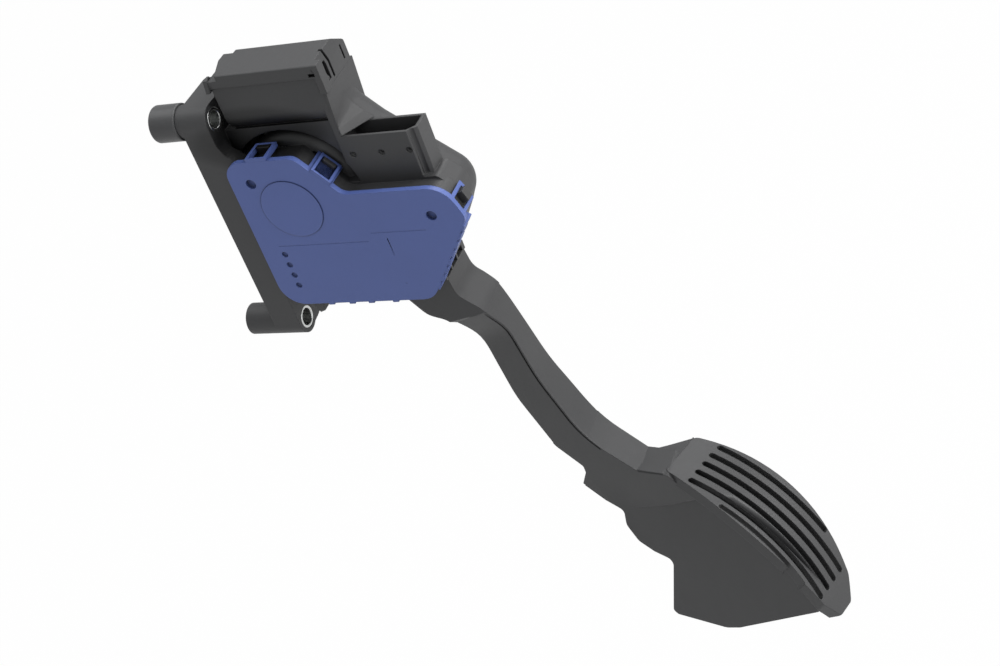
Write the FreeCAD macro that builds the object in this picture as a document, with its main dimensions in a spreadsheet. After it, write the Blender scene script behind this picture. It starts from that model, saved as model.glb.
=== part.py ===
import FreeCAD, Part
import math
import os
import Sketcher

# Accelerator pedal module. The origin is the middle of the two bolt holes on the bulkhead face.
# X points towards the driver, Y runs along the pivot away from the sensor side, Z points up.

# Driving dimensions, in millimetres and degrees
SIZES = {
    # bolts and flange
    "mount_spacing": 100.0,
    "sleeve_outer": 9.8,
    "sleeve_bore": 7.3,
    "boss_wall": 1.85,
    "flange_rear": 14.0,
    "flange_front": 26.5,
    "spacer_length": 12.0,
    "spacer_outer": 15.1,
    "flange_rib": 2.5,
    # housing shell
    "body_width": 26.5,
    "wall": 2.5,
    "body_bottom": 34.5,
    "foot_x": 96.0,
    "nose_x": 118.0,
    "shelf_z": 16.0,
    "neck_top": 43.0,
    "neck_setback": 2.5,
    "far_round": 10.0,
    "barrel_radius": 27.0,
    "barrel_room": 21.0,
    "cavity_left": 40.0,
    # pivot
    "pivot_x": 49.7,
    "pivot_z": 11.8,
    "shaft_diameter": 8.0,
    "bush_outer": 11.0,
    "bush_flange": 15.0,
    "bush_flange_thickness": 1.0,
    "running_gap": 0.05,
    "hub_gap": 0.3,
    "hub_radius": 11.0,
    "bearing_boss": 9.0,
    "bearing_boss_height": 1.5,
    "cap_thickness": 1.5,
    # spring chamber and lid
    "chamber_left": 31.0,
    "chamber_right": 77.8,
    "chamber_bottom": 41.5,
    "chamber_top": 66.8,
    "chamber_far_top": 55.5,
    "chamber_wall": 2.3,
    "chamber_round": 9.0,
    "lid_thickness": 2.4,
    "lid_lip": 1.5,
    "lid_lip_drop": 3.0,
    "lid_flat": 18.0,
    "lid_slope_drop": 4.2,
    "lid_far_inset": 1.7,
    "lid_end_wall": 2.8,
    "lid_end_drop": 7.0,
    "lid_tongue": 2.5,
    "fit_gap": 0.1,
    # connector
    "connector_left": 76.0,
    "connector_right": 109.6,
    "connector_depth": 12.0,
    "connector_top": 36.7,
    "connector_wall": 1.3,
    "connector_floor": 18.0,
    "connector_cut": 3.9,
    "pin_size": 0.8,
    "pin_pitch": 4.4,
    "pin_mid_x": 92.8,
    "pin_y": 6.0,
    "pin_top": 31.0,
    "pin_turn_z": 8.0,
    # sensor bay and cover
    "bay_depth": 7.0,
    "bay_wall": 2.0,
    "cover_overhang": 2.0,
    "cover_thickness": 2.5,
    "cover_left": 27.0,
    "cover_right": 122.6,
    "cover_top": 34.8,
    "cover_shelf": 16.7,
    "cover_bottom": 35.9,
    "seal_width": 0.8,
    "board_thickness": 1.6,
    "board_standoff": 4.7,
    "rotor_radius": 11.0,
    "rotor_thickness": 3.4,
    "rotor_clearance": 0.6,
    "chip_thickness": 1.0,
    # spring drive
    "spring_z": 55.0,
    "lever_width": 10.0,
    "lever_side_gap": 1.25,
    "lever_nose_x": 39.5,
    "lever_nose_radius": 4.5,
    "seat_gap": 0.3,
    "seat_plate": 3.0,
    "seat_side_gap": 0.4,
    "shoe_width": 2.35,
    "shoe_length": 7.0,
    "outer_spring_diameter": 15.6,
    "outer_wire": 1.8,
    "outer_turns": 5.5,
    "inner_spring_diameter": 9.6,
    "inner_wire": 1.3,
    "inner_turns": 6.5,
    "travel_bumper": 5.0,
    # arm
    "arm_root_gap": 0.8,
    "arm_near_w": 38.5,
    "arm_far_w": 51.3,
    "arm_bulge": 3.9,
    "arm_step_pitch": 27.5,
    # foot pad
    "pad_x": 155.2,
    "pad_y": 2.6,
    "pad_z": -218.8,
    "pad_yaw": 15.2,
    "pad_roll": 6.9,
    "pad_radius": 81.8,
    "pad_thickness": 4.8,
    "pad_bottom_angle": 12.0,
    "pad_top_angle": 82.0,
    "pad_plan_angle": 48.0,
    "pad_near": 18.1,
    "pad_far": 15.1,
    "slot_width": 2.8,
    "slot_pitch": 5.9,
    "slot_length": 72.8,
    "web_near": 11.2,
    "web_thickness": 5.0,
}

doc = FreeCAD.newDocument("AcceleratorPedal")
sheet = doc.addObject("Spreadsheet::Sheet", "Dims")
for row, (size_name, size_value) in enumerate(SIZES.items(), start=1):
    sheet.set("A%d" % row, size_name)
    sheet.set("B%d" % row, str(size_value))
    sheet.setAlias("B%d" % row, size_name)
doc.recompute()


class Size:
    """A length or an angle: its number and the spreadsheet formula that gives it."""

    def __init__(self, value, text):
        self.value = value
        self.text = text

    def __add__(self, other):
        other = as_size(other)
        return Size(self.value + other.value, "(%s + %s)" % (self.text, other.text))

    def __sub__(self, other):
        other = as_size(other)
        return Size(self.value - other.value, "(%s - %s)" % (self.text, other.text))

    def __mul__(self, other):
        other = as_size(other)
        return Size(self.value * other.value, "(%s * %s)" % (self.text, other.text))

    def __truediv__(self, other):
        other = as_size(other)
        return Size(self.value / other.value, "(%s / %s)" % (self.text, other.text))

    def __radd__(self, other):
        return as_size(other) + self

    def __rsub__(self, other):
        return as_size(other) - self

    def __rmul__(self, other):
        return as_size(other) * self

    def __neg__(self):
        return as_size(0) - self


def as_size(number):
    if isinstance(number, Size):
        return number
    return Size(float(number), "(%.6f)" % number)


class Dimensions:
    """Every driving dimension by name."""

    def __init__(self, names):
        for name, value in names.items():
            setattr(self, name, Size(float(value), "Dims." + name))


dim = Dimensions(SIZES)


# Sketch helpers

PLANES = {"side": ("XZ_Plane", -1), "front": ("YZ_Plane", 1), "top": ("XY_Plane", 1)}


class Circle:
    def __init__(self, x, y, radius):
        self.x = as_size(x)
        self.y = as_size(y)
        self.radius = as_size(radius)


def rectangle(x0, y0, x1, y1, radius=0):
    return [(x0, y0, radius), (x1, y0, radius), (x1, y1, radius), (x0, y1, radius)]


def bind(item, prop, size):
    item.setExpression(prop, as_size(size).text)


def fix_point(sketch, geometry, end, x, y):
    for kind, size in (("DistanceX", x), ("DistanceY", y)):
        number = sketch.addConstraint(Sketcher.Constraint(kind, -1, 1, geometry, end, size.value))
        bind(sketch, "Constraints[%d]" % number, size)


def fix_radius(sketch, geometry, size):
    number = sketch.addConstraint(Sketcher.Constraint("Radius", geometry, size.value))
    bind(sketch, "Constraints[%d]" % number, size)


def draw_circle(sketch, circle):
    centre = FreeCAD.Vector(circle.x.value, circle.y.value, 0)
    shape = Part.Circle(centre, FreeCAD.Vector(0, 0, 1), circle.radius.value)
    geometry = sketch.addGeometry(shape, False)
    fix_point(sketch, geometry, 3, circle.x, circle.y)
    fix_radius(sketch, geometry, circle.radius)


def corner_arc(before, corner, after, radius):
    """Tangent points, centre and turning side of a round corner."""
    to_before = (before - corner).normalize()
    to_after = (after - corner).normalize()
    half = to_before.getAngle(to_after) / 2
    reach = radius / math.tan(half)
    middle = (to_before + to_after).normalize()
    centre = corner + middle * (radius / math.sin(half))
    turns_left = to_before.cross(to_after).z < 0
    return corner + to_before * reach, corner + to_after * reach, centre, turns_left


def draw_corners(sketch, corners):
    """A closed outline with a round where a corner has a third number."""
    places = [(as_size(c[0]), as_size(c[1])) for c in corners]
    rounds = [as_size(c[2]) if len(c) > 2 else as_size(0) for c in corners]
    points = [FreeCAD.Vector(x.value, y.value, 0) for x, y in places]
    count = len(points)
    starts = list(points)
    ends = [points[(k + 1) % count] for k in range(count)]
    arcs = {}
    for k in range(count):
        if rounds[k].value > 0:
            arc = corner_arc(points[k - 1], points[k], points[(k + 1) % count], rounds[k].value)
            ends[k - 1] = arc[0]
            starts[k] = arc[1]
            arcs[k] = arc
    lines = [sketch.addGeometry(Part.LineSegment(starts[k], ends[k]), False) for k in range(count)]
    for k in range(count):
        x, y = places[k]
        before = lines[k - 1]
        if k not in arcs:
            sketch.addConstraint(Sketcher.Constraint("Coincident", before, 2, lines[k], 1))
            fix_point(sketch, lines[k], 1, x, y)
            continue
        first, last, centre, turns_left = arcs[k]
        if not turns_left:
            first, last = last, first
        angles = [math.atan2(p.y - centre.y, p.x - centre.x) for p in (first, last)]
        if angles[1] < angles[0]:
            angles[1] += 2 * math.pi
        ring = Part.Circle(centre, FreeCAD.Vector(0, 0, 1), rounds[k].value)
        arc = sketch.addGeometry(Part.ArcOfCircle(ring, angles[0], angles[1]), False)
        corner = sketch.addGeometry(Part.Point(points[k]), True)
        fix_point(sketch, corner, 1, x, y)
        for line in (before, lines[k]):
            sketch.addConstraint(Sketcher.Constraint("PointOnObject", corner, 1, line))
        enter, leave = (1, 2) if turns_left else (2, 1)
        sketch.addConstraint(Sketcher.Constraint("Tangent", before, 2, arc, enter))
        sketch.addConstraint(Sketcher.Constraint("Tangent", lines[k], 1, arc, leave))
        fix_radius(sketch, arc, rounds[k])


def new_body(name):
    return doc.addObject("PartDesign::Body", name)


def new_sketch(body, name, plane, place, loops):
    role, direction = PLANES[plane]
    sketch = body.newObject("Sketcher::SketchObject", name + "_sketch")
    origin_plane = [item for item in body.Origin.OriginFeatures if item.Role == role][0]
    sketch.AttachmentSupport = (origin_plane, [""])
    sketch.MapMode = "FlatFace"
    bind(sketch, "AttachmentOffset.Base.z", direction * as_size(place))
    for loop in loops:
        if isinstance(loop, Circle):
            draw_circle(sketch, loop)
        else:
            draw_corners(sketch, loop)
    return sketch


def pad(body, name, plane, start, end, loops):
    """Material between two positions along the plane's own axis."""
    start, end = as_size(start), as_size(end)
    base = start if PLANES[plane][1] > 0 else end
    feature = body.newObject("PartDesign::Pad", name)
    feature.Profile = new_sketch(body, name, plane, base, loops)
    bind(feature, "Length", end - start)
    return feature


def pocket(body, name, plane, start, end, loops):
    """A cut between two positions along the plane's own axis."""
    start, end = as_size(start), as_size(end)
    base = end if PLANES[plane][1] > 0 else start
    feature = body.newObject("PartDesign::Pocket", name)
    feature.Profile = new_sketch(body, name, plane, base, loops)
    bind(feature, "Length", end - start)
    return feature


def round_far_edge(body, radius, from_x):
    """Round the far rim of the last pad to the right of a place on the X axis."""
    doc.recompute()
    shape = body.Shape
    far_y = shape.BoundBox.YMax
    names = []
    for number, edge in enumerate(shape.Edges, start=1):
        box = edge.BoundBox
        if box.YMin > far_y - 0.01 and box.XMin > from_x - 0.1 and box.ZLength > 1:
            names.append("Edge%d" % number)
    rounded = body.Tip
    feature = body.newObject("PartDesign::Fillet", "far_rim_round")
    feature.Base = (rounded, names)
    bind(feature, "Radius", radius)
    return feature


def corner_values(corner):
    return as_size(corner[0]).value, as_size(corner[1]).value


def beside(a, b, run, out):
    """The point a run along the line from a to b and out to its right."""
    (ax, ay), (bx, by) = corner_values(a), corner_values(b)
    length = math.hypot(bx - ax, by - ay)
    ux, uy = (bx - ax) / length, (by - ay) / length
    return a[0] + as_size(run) * ux + as_size(out) * uy, a[1] + as_size(run) * uy - as_size(out) * ux


def strip(a, b, run0, run1, out0, out1):
    """A four-sided loop along the line from a to b."""
    return [beside(a, b, run0, out0), beside(a, b, run0, out1),
            beside(a, b, run1, out1), beside(a, b, run1, out0)]


def inset(corners, distance):
    """An anticlockwise outline moved inwards, its rounds kept concentric."""
    result = []
    count = len(corners)
    for k, corner in enumerate(corners):
        (x0, y0), (x1, y1), (x2, y2) = [
            corner_values(corners[n % count]) for n in (k - 1, k, k + 1)]
        first = math.hypot(x1 - x0, y1 - y0)
        second = math.hypot(x2 - x1, y2 - y1)
        nx0, ny0 = -(y1 - y0) / first, (x1 - x0) / first
        nx1, ny1 = -(y2 - y1) / second, (x2 - x1) / second
        share = 1 + nx0 * nx1 + ny0 * ny1
        turns_left = nx0 * ny1 - ny0 * nx1 > 0
        x = corner[0] + as_size(distance) * ((nx0 + nx1) / share)
        y = corner[1] + as_size(distance) * ((ny0 + ny1) / share)
        radius = corner[2] - as_size(distance) if turns_left else corner[2] + as_size(distance)
        result.append((x, y, radius))
    return result


# Shared places

half_spacing = dim.mount_spacing / 2
boss_radius = dim.sleeve_outer / 2 + dim.boss_wall
mid_y = dim.body_width / 2
cavity_near = dim.wall
cavity_far = dim.body_width - dim.wall
hub_near = cavity_near + dim.bearing_boss_height + dim.bush_flange_thickness + dim.hub_gap
hub_far = cavity_far - (dim.bearing_boss_height + dim.bush_flange_thickness + dim.hub_gap)
chamber_near_wall = dim.chamber_wall
chamber_far_wall = dim.body_width - dim.chamber_wall
chamber_start = dim.chamber_left + dim.chamber_wall
chamber_end = dim.chamber_right - dim.chamber_wall
chamber_floor = dim.chamber_bottom + dim.chamber_wall
lid_top = dim.chamber_top + dim.lid_thickness
lid_far = dim.body_width - dim.lid_far_inset
lid_far_inner = lid_far - dim.lid_thickness
lid_slope_top = dim.chamber_top - dim.lid_slope_drop + dim.lid_thickness
nose_right = dim.lever_nose_x + dim.lever_nose_radius
seat_face = nose_right + dim.seat_gap
seat_back = seat_face + dim.seat_plate
shoe_top = dim.chamber_far_top - dim.lid_tongue - dim.seat_side_gap
cover_inner = -dim.bay_depth
cover_outer = cover_inner - dim.cover_thickness
board_top = -dim.board_standoff
board_under = board_top - dim.board_thickness

COVER = [
    (dim.cover_left, -dim.cover_bottom, 10),
    (dim.cover_right - 27.0, -dim.cover_bottom, 9),
    (dim.cover_right, 2.2, 5),
    (dim.cover_right - 5.1, dim.cover_shelf, 11),
    (dim.connector_left - 1.6, dim.cover_shelf, 5),
    (dim.connector_left - 16.8, dim.cover_top, 5),
    (dim.cover_left, dim.cover_top, 7.5),
]
SLANT = (COVER[1], COVER[2])
HIP = (COVER[4], COVER[5])
CREST = (COVER[5], COVER[6])
RIGHT_TOP = (COVER[2], COVER[3])
FLOOR_EDGE = (COVER[0], COVER[1])

# Each loop clip: the edge that it stands on, where it starts, its length and its far end in Y
LOOP_CLIPS = [
    (CREST, 13.2, 9.4, 1.6),
    (HIP, 5.4, 11.4, 3.2),
    (RIGHT_TOP, 1.2, 9.0, 2.4),
]
CLIP_THICKNESS = 1.5
CLIP_BAR = 1.6

HOUSING_SLANT = [(dim.foot_x, -dim.body_bottom), (dim.nose_x - 5.5, -dim.body_bottom + 26.5)]
WALL_POCKETS = [3.4, 11.2, 19.0]


def pin_x(number):
    return dim.pin_mid_x + dim.pin_pitch * (number - 2.5)


# Housing

def build_housing():
    body = new_body("pedal_housing")
    left = dim.flange_front - 2
    pad(body, "flange_block", "front", dim.flange_rear, dim.flange_front, [[
        (-boss_radius, -half_spacing - boss_radius, boss_radius - 0.1),
        (10, -half_spacing - 4.8, 8),
        (dim.body_width, -half_spacing + 12, 3),
        (dim.body_width, half_spacing + boss_radius, 7),
        (-boss_radius, half_spacing + boss_radius, boss_radius - 0.1)]])
    pad(body, "lower_boss", "front", 0, dim.flange_front, [Circle(0, -half_spacing, boss_radius)])
    pad(body, "upper_boss", "front", dim.spacer_length, dim.flange_front,
        [Circle(0, half_spacing, boss_radius)])

    pad(body, "near_shell", "side", 0, dim.connector_depth, [[
        (left, -dim.body_bottom),
        (dim.foot_x, -dim.body_bottom, 2),
        HOUSING_SLANT[1] + (8,),
        (dim.nose_x, 1, 5),
        (dim.nose_x - 0.5, 10, 5),
        (dim.nose_x - 6.5, dim.shelf_z, 3),
        (left, dim.shelf_z)]])
    pad(body, "far_shell", "side", dim.connector_depth, dim.body_width, [[
        (left, -dim.body_bottom),
        (dim.foot_x, -dim.body_bottom),
        HOUSING_SLANT[1] + (12,),
        (dim.nose_x + 1.9, 5.6, 12),
        (dim.nose_x - 30, 35.2, 10),
        (dim.chamber_right + 2.4, dim.neck_top + 1.2, 5),
        (dim.chamber_right, dim.neck_top + 8),
        (left, dim.neck_top)]])
    round_far_edge(body, dim.far_round, dim.foot_x.value)
    pad(body, "neck", "side", dim.neck_setback, dim.connector_depth, [[
        (left, 0), (dim.chamber_right, 0), (dim.chamber_right, dim.neck_top),
        (left, dim.neck_top)]])
    pad(body, "barrel", "side", 0, dim.body_width,
        [Circle(dim.pivot_x, dim.pivot_z, dim.barrel_radius)])
    pad(body, "end_plate", "front", chamber_end, dim.chamber_right,
        [rectangle(0, 0, dim.body_width, dim.chamber_far_top)])
    pad(body, "chamber", "front", dim.chamber_left, dim.chamber_right, [[
        (0, dim.chamber_bottom, dim.chamber_round),
        (dim.body_width, dim.chamber_bottom, dim.chamber_round),
        (dim.body_width, dim.chamber_far_top),
        (lid_far_inner, dim.chamber_far_top),
        (lid_far_inner, lid_slope_top - dim.lid_thickness),
        (dim.lid_flat - 0.6, dim.chamber_top),
        (0, dim.chamber_top)]])
    pad(body, "connector_shroud", "top", 0, dim.connector_top, [[
        (dim.connector_left, 0),
        (dim.connector_right - dim.connector_cut, 0),
        (dim.connector_right, dim.connector_cut - 0.9),
        (dim.connector_right, dim.connector_depth),
        (dim.connector_left, dim.connector_depth)]])
    pad(body, "bay_block", "side", cover_inner, dim.wall, [inset(COVER, dim.cover_overhang)])
    pad(body, "bay_corner", "side", -boss_radius, 0, [[
        (dim.flange_front - 1, 20), (dim.flange_front + 9, dim.cover_top - 3),
        (dim.flange_front + 2, dim.cover_top + 1.5, 4), (dim.flange_front - 1, 44)]])
    hook_end = [(43, -dim.body_bottom - 6), (40.5, -dim.body_bottom - 6.9),
                (38.5, -dim.body_bottom - 3)]
    for name, near, far, top in (
            ("lower_hook", cover_inner, -4, -dim.body_bottom + 1),
            ("lower_hook_tip", cover_inner - 1.2, cover_inner, -dim.cover_bottom - dim.fit_gap)):
        pad(body, name, "side", near, far, [[(38.5, top), (43, top)] + hook_end])

    pocket(body, "chamber_room", "front", chamber_start, chamber_end, [[
        (chamber_near_wall, chamber_floor, dim.chamber_round - dim.chamber_wall),
        (chamber_far_wall, chamber_floor, dim.chamber_round - dim.chamber_wall),
        (chamber_far_wall, lid_top + 5),
        (chamber_near_wall, lid_top + 5)]])
    pocket(body, "arm_room", "side", cavity_near, cavity_far, [[
        (dim.cavity_left, -dim.body_bottom - 2),
        (dim.foot_x - 3.8, -dim.body_bottom - 2),
        (dim.foot_x + 11.5, -dim.body_bottom + 22.6, 3),
        (dim.connector_left + 4, dim.shelf_z - 11, 8),
        (dim.pivot_x + 16.3, dim.pivot_z + 10.2),
        (dim.cavity_left, dim.pivot_z)]])
    pocket(body, "barrel_room_cut", "side", cavity_near, cavity_far,
           [Circle(dim.pivot_x, dim.pivot_z, dim.barrel_room)])
    pocket(body, "lever_passage", "side", mid_y - dim.lever_width / 2 - dim.lever_side_gap,
           mid_y + dim.lever_width / 2 + dim.lever_side_gap,
           [rectangle(dim.lever_nose_x - 3.2, dim.pivot_z + 15, dim.lever_nose_x + 18.3,
                      chamber_floor + 1)])
    pocket(body, "left_core", "side", cavity_near, cavity_far,
           [rectangle(dim.flange_front + dim.wall, -dim.body_bottom - 2,
                      dim.cavity_left - dim.wall, -5)])
    rib = dim.flange_rib / 2
    pocket(body, "flange_cores", "front", dim.flange_rear, dim.flange_front - dim.wall, [
        rectangle(-boss_radius + dim.wall, low + rib, dim.body_width - dim.wall, high - rib, 1.5)
        for low, high in ((-38, -13), (-13, 13), (13, 38))])
    pocket(body, "far_cores", "side", dim.body_width - 12, dim.body_width, [
        [(82, 8, 1.5), (94, 8, 1.5), (94, 25, 1.5), (82, 34, 1.5)],
        [(96.5, 2, 1.5), (106, 2, 1.5), (106, 14.5, 1.5), (96.5, 22.5, 1.5)]])

    pad(body, "near_bearing_boss", "side", cavity_near, cavity_near + dim.bearing_boss_height,
        [Circle(dim.pivot_x, dim.pivot_z, dim.bearing_boss)])
    pad(body, "far_bearing_boss", "side", cavity_far - dim.bearing_boss_height, cavity_far,
        [Circle(dim.pivot_x, dim.pivot_z, dim.bearing_boss)])
    pocket(body, "near_bearing_bore", "side", 0, cavity_near + dim.bearing_boss_height,
           [Circle(dim.pivot_x, dim.pivot_z, dim.bush_outer / 2)])
    pocket(body, "far_bearing_bore", "side", cavity_far - dim.bearing_boss_height, dim.body_width,
           [Circle(dim.pivot_x, dim.pivot_z, dim.bush_outer / 2)])
    pocket(body, "sleeve_bores", "front", 0, dim.flange_front, [
        Circle(0, half_spacing, dim.sleeve_outer / 2),
        Circle(0, -half_spacing, dim.sleeve_outer / 2)])

    pocket(body, "bay_room", "side", cover_inner, 0,
           [inset(COVER, dim.cover_overhang + dim.bay_wall)])
    seal_start = dim.cover_overhang + (dim.bay_wall - dim.seal_width) / 2
    pocket(body, "seal_groove", "side", cover_inner, cover_inner + dim.seal_width,
           [inset(COVER, seal_start), inset(COVER, seal_start + dim.seal_width)])
    pad(body, "board_posts", "side", board_top, 0, [Circle(x, z, 2.5) for x, z in BOARD_POSTS])
    pocket(body, "near_shaft_hole", "side", board_top, 0,
           [Circle(dim.pivot_x, dim.pivot_z, dim.bush_outer / 2)])

    cut = dim.connector_wall
    pocket(body, "connector_mouth", "top", dim.connector_floor, dim.connector_top, [[
        (dim.chamber_right + 0.2, cut),
        (dim.connector_right - dim.connector_cut - 0.4, cut),
        (dim.connector_right - cut, dim.connector_cut),
        (dim.connector_right - cut, dim.connector_depth - cut),
        (dim.chamber_right + 0.2, dim.connector_depth - cut)]])
    pocket(body, "connector_groove", "top", dim.cover_shelf, dim.connector_top,
           [Circle(dim.connector_right - dim.connector_cut / 2, 0.6, 1.5)])
    pocket(body, "connector_dimples", "side", 0, 0.7, [
        Circle(x, dim.connector_top - 8.3, 1.2)
        for x in (dim.connector_left + 3.9, dim.connector_left + 16.3, dim.connector_right - 5.3)])
    half_pin = dim.pin_size / 2
    pocket(body, "pin_channels", "top", dim.pin_turn_z - half_pin, dim.connector_floor, [
        rectangle(pin_x(n) - half_pin, dim.pin_y - half_pin, pin_x(n) + half_pin,
                  dim.pin_y + half_pin) for n in range(6)])
    pocket(body, "pin_tunnels", "side", 0, dim.pin_y + half_pin, [
        rectangle(pin_x(n) - half_pin, dim.pin_turn_z - half_pin, pin_x(n) + half_pin,
                  dim.pin_turn_z + half_pin) for n in range(6)])

    a, b = HOUSING_SLANT
    pocket(body, "slant_pockets", "side", 0.6, 4.0,
           [strip(a, b, run, run + 5.0, -1.4, 1.0) for run in WALL_POCKETS])
    gap = dim.fit_gap
    for number, ((a, b), start, length, reach) in enumerate(LOOP_CLIPS[:2]):
        pocket(body, "clip_room_%d" % number, "side", 0, reach + gap,
               [strip(a, b, start - gap, start + length + gap, -0.6 - gap, CLIP_THICKNESS + gap)])
    for number, ((a, b), start, length, reach) in enumerate(LOOP_CLIPS):
        inner = -dim.cover_overhang
        pad(body, "clip_catch_%d" % number, "side", -3.2, reach - CLIP_BAR - dim.fit_gap,
            [strip(a, b, start + CLIP_BAR + 0.6, start + length - CLIP_BAR - 0.6,
                   inner - 0.4, CLIP_THICKNESS)])
    return body


BOARD_POSTS = [(42, -26), (104, -14), (104.5, 11.6), (33, 27)]


# Metal sleeves, spacer and bearings

def build_ring(name, plane, start, end, x, y, outer, inner):
    body = new_body(name)
    pad(body, name + "_ring", plane, start, end,
        [Circle(x, y, outer / 2), Circle(x, y, inner / 2)])
    return body


def build_bush(name, tube_start, tube_end, flange_start, flange_end):
    body = new_body(name)
    bore = dim.shaft_diameter / 2 + dim.running_gap
    x, z = dim.pivot_x, dim.pivot_z
    pad(body, name + "_tube", "side", tube_start, tube_end,
        [Circle(x, z, dim.bush_outer / 2), Circle(x, z, bore)])
    pad(body, name + "_flange", "side", flange_start, flange_end,
        [Circle(x, z, dim.bush_flange / 2), Circle(x, z, bore)])
    return body


def build_cap():
    body = new_body("far_bearing_cap")
    x, z = dim.pivot_x, dim.pivot_z
    pad(body, "cap_disc", "side", dim.body_width, dim.body_width + dim.cap_thickness,
        [Circle(x, z, dim.bearing_boss)])
    pocket(body, "cap_dish", "side", dim.body_width + dim.cap_thickness - 0.6,
           dim.body_width + dim.cap_thickness,
           [Circle(x, z, dim.bearing_boss - 2.2)])
    return body


# Spring chamber lid

def build_lid():
    body = new_body("spring_chamber_lid")
    lip_bottom = dim.chamber_top - dim.lid_lip_drop
    outer = [
        (-dim.lid_lip, lip_bottom),
        (-dim.lid_lip, lid_top, 0.8),
        (dim.lid_flat, lid_top, 2),
        (lid_far, lid_slope_top, 2),
        (lid_far, dim.chamber_far_top)]
    inner = [
        (lid_far_inner, dim.chamber_far_top),
        (lid_far_inner, lid_slope_top - dim.lid_thickness),
        (dim.lid_flat - 0.6, dim.chamber_top),
        (-dim.fit_gap, dim.chamber_top),
        (-dim.fit_gap, lip_bottom)]
    pad(body, "lid_shell", "front", dim.chamber_left + 0.5, dim.chamber_right + dim.fit_gap,
        [outer + inner])
    end_start = dim.chamber_right + dim.fit_gap
    end_end = end_start + dim.lid_end_wall
    end_bottom = dim.chamber_top - dim.lid_end_drop
    pad(body, "lid_end", "front", end_start, end_end, [[
        (-dim.lid_lip, end_bottom - 3.2), (3.2, end_bottom - 3.2), (3.2, end_bottom),
        (lid_far, end_bottom), (lid_far, lid_slope_top, 2), (dim.lid_flat, lid_top, 2),
        (-dim.lid_lip, lid_top, 0.8)]])
    pad(body, "lid_tongue_strip", "front", chamber_start + dim.fit_gap, chamber_end - dim.fit_gap, [
        rectangle(lid_far_inner - 0.3, dim.chamber_far_top - dim.lid_tongue,
                  chamber_far_wall - dim.fit_gap, dim.chamber_far_top + 2)])
    pocket(body, "lid_end_slots", "front", end_end - 1.6, end_end, [
        rectangle(5.2, end_bottom + 1.5, 6.7, lid_top - 0.8),
        rectangle(8.6, end_bottom + 3.5, 12.2, end_bottom + 7.6),
        rectangle(17.0, end_bottom + 2.5, 18.3, lid_slope_top)])
    pocket(body, "lid_top_slot", "top", lid_top - 1.2, lid_top, [
        rectangle(end_end - 3.4, 7.4, end_end - 1.0, 8.7)])
    pocket(body, "lid_left_step", "top", dim.chamber_top - 8, lid_top, [
        rectangle(dim.chamber_left, 15.5, chamber_start + 2.6, lid_far + 1)])
    pocket(body, "lid_left_corner", "top", dim.chamber_top + 0.2, lid_top, [[
        (dim.chamber_left - 1, -dim.lid_lip - 1), (dim.chamber_left + 5, -dim.lid_lip - 1),
        (dim.chamber_left + 0.4, 11), (dim.chamber_left - 1, 11)]])
    clip_start = dim.chamber_left - dim.fit_gap
    for name, start, end, reach in (
            ("lid_left_clip", dim.chamber_left - 1.2, clip_start, 2.2),
            ("lid_left_clip_root", clip_start, dim.chamber_left + 0.5, -dim.fit_gap)):
        pad(body, name, "front", start, end, [[
            (-dim.lid_lip - 1.2, lip_bottom - 1.2), (reach, lip_bottom - 1.2),
            (reach, lid_top - 1.6), (-dim.lid_lip, lid_top - 1.6)]])
    pocket(body, "lid_left_notch", "front", dim.chamber_left - 1.2, dim.chamber_left - 0.4,
           [rectangle(-0.9, lip_bottom + 0.8, 1.1, lip_bottom + 3.2)])
    pocket(body, "lid_lip_hole", "side", -dim.lid_lip, -dim.fit_gap,
           [rectangle(dim.chamber_right - 4.6, lip_bottom + 0.7, dim.chamber_right - 2.6,
                      lip_bottom + 1.9)])
    return body


# Sensor cover

def build_cover():
    body = new_body("sensor_cover")
    pad(body, "cover_plate", "side", cover_outer, cover_inner, [COVER])
    for number, ((a, b), start, length, reach) in enumerate(LOOP_CLIPS):
        pad(body, "clip_strap_%d" % number, "side", cover_outer, reach,
            [strip(a, b, start, start + length, -0.6, CLIP_THICKNESS)])
        pocket(body, "clip_window_%d" % number, "side", cover_outer + 2.2, reach - CLIP_BAR,
               [strip(a, b, start + CLIP_BAR, start + length - CLIP_BAR, -0.6 - 0.1,
                      CLIP_THICKNESS + 0.1)])
    skirt = -dim.cover_overhang + dim.fit_gap
    a, b = SLANT
    pad(body, "slant_teeth", "side", cover_outer, -1.5,
        [strip(a, b, 6.0 + 7.0 * n, 9.6 + 7.0 * n, skirt, 1.3) for n in range(4)])
    a, b = FLOOR_EDGE
    pad(body, "floor_teeth", "side", cover_outer, -3.5,
        [strip(a, b, run, run + 3.0, skirt, 1.3) for run in (20.0, 28.5, 38.0, 48.5)])
    x, z = dim.pivot_x, dim.pivot_z
    pocket(body, "cover_dish", "side", cover_outer, cover_outer + 0.5, [Circle(x, z, 13)])
    pocket(body, "cover_holes", "side", cover_outer, cover_inner, [
        Circle(dim.cover_left + 9.3, dim.cover_top - 10.2, 1.9),
        Circle(dim.cover_right - 14, dim.cover_shelf - 12.4, 1.9)])
    pocket(body, "cover_dimples", "side", cover_outer, cover_outer + 0.8, [
        Circle(dim.cover_left + 10, -10.2 - 5.25 * n, 1.25) for n in range(4)])
    pocket(body, "cover_grooves", "side", cover_outer, cover_outer + 0.3, [
        rectangle(36, -6.2, 77.3, -5.7), rectangle(80, -2.3, 104, -1.8),
        rectangle(85.8, -13.3, 86.3, -5.0), rectangle(86.0, -27.6, 86.8, -26.9)])
    return body


def build_seal():
    body = new_body("sensor_cover_seal")
    start = dim.cover_overhang + (dim.bay_wall - dim.seal_width) / 2
    pad(body, "seal_cord", "side", cover_inner, cover_inner + dim.seal_width,
        [inset(COVER, start), inset(COVER, start + dim.seal_width)])
    return body


# Sensor parts

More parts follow.
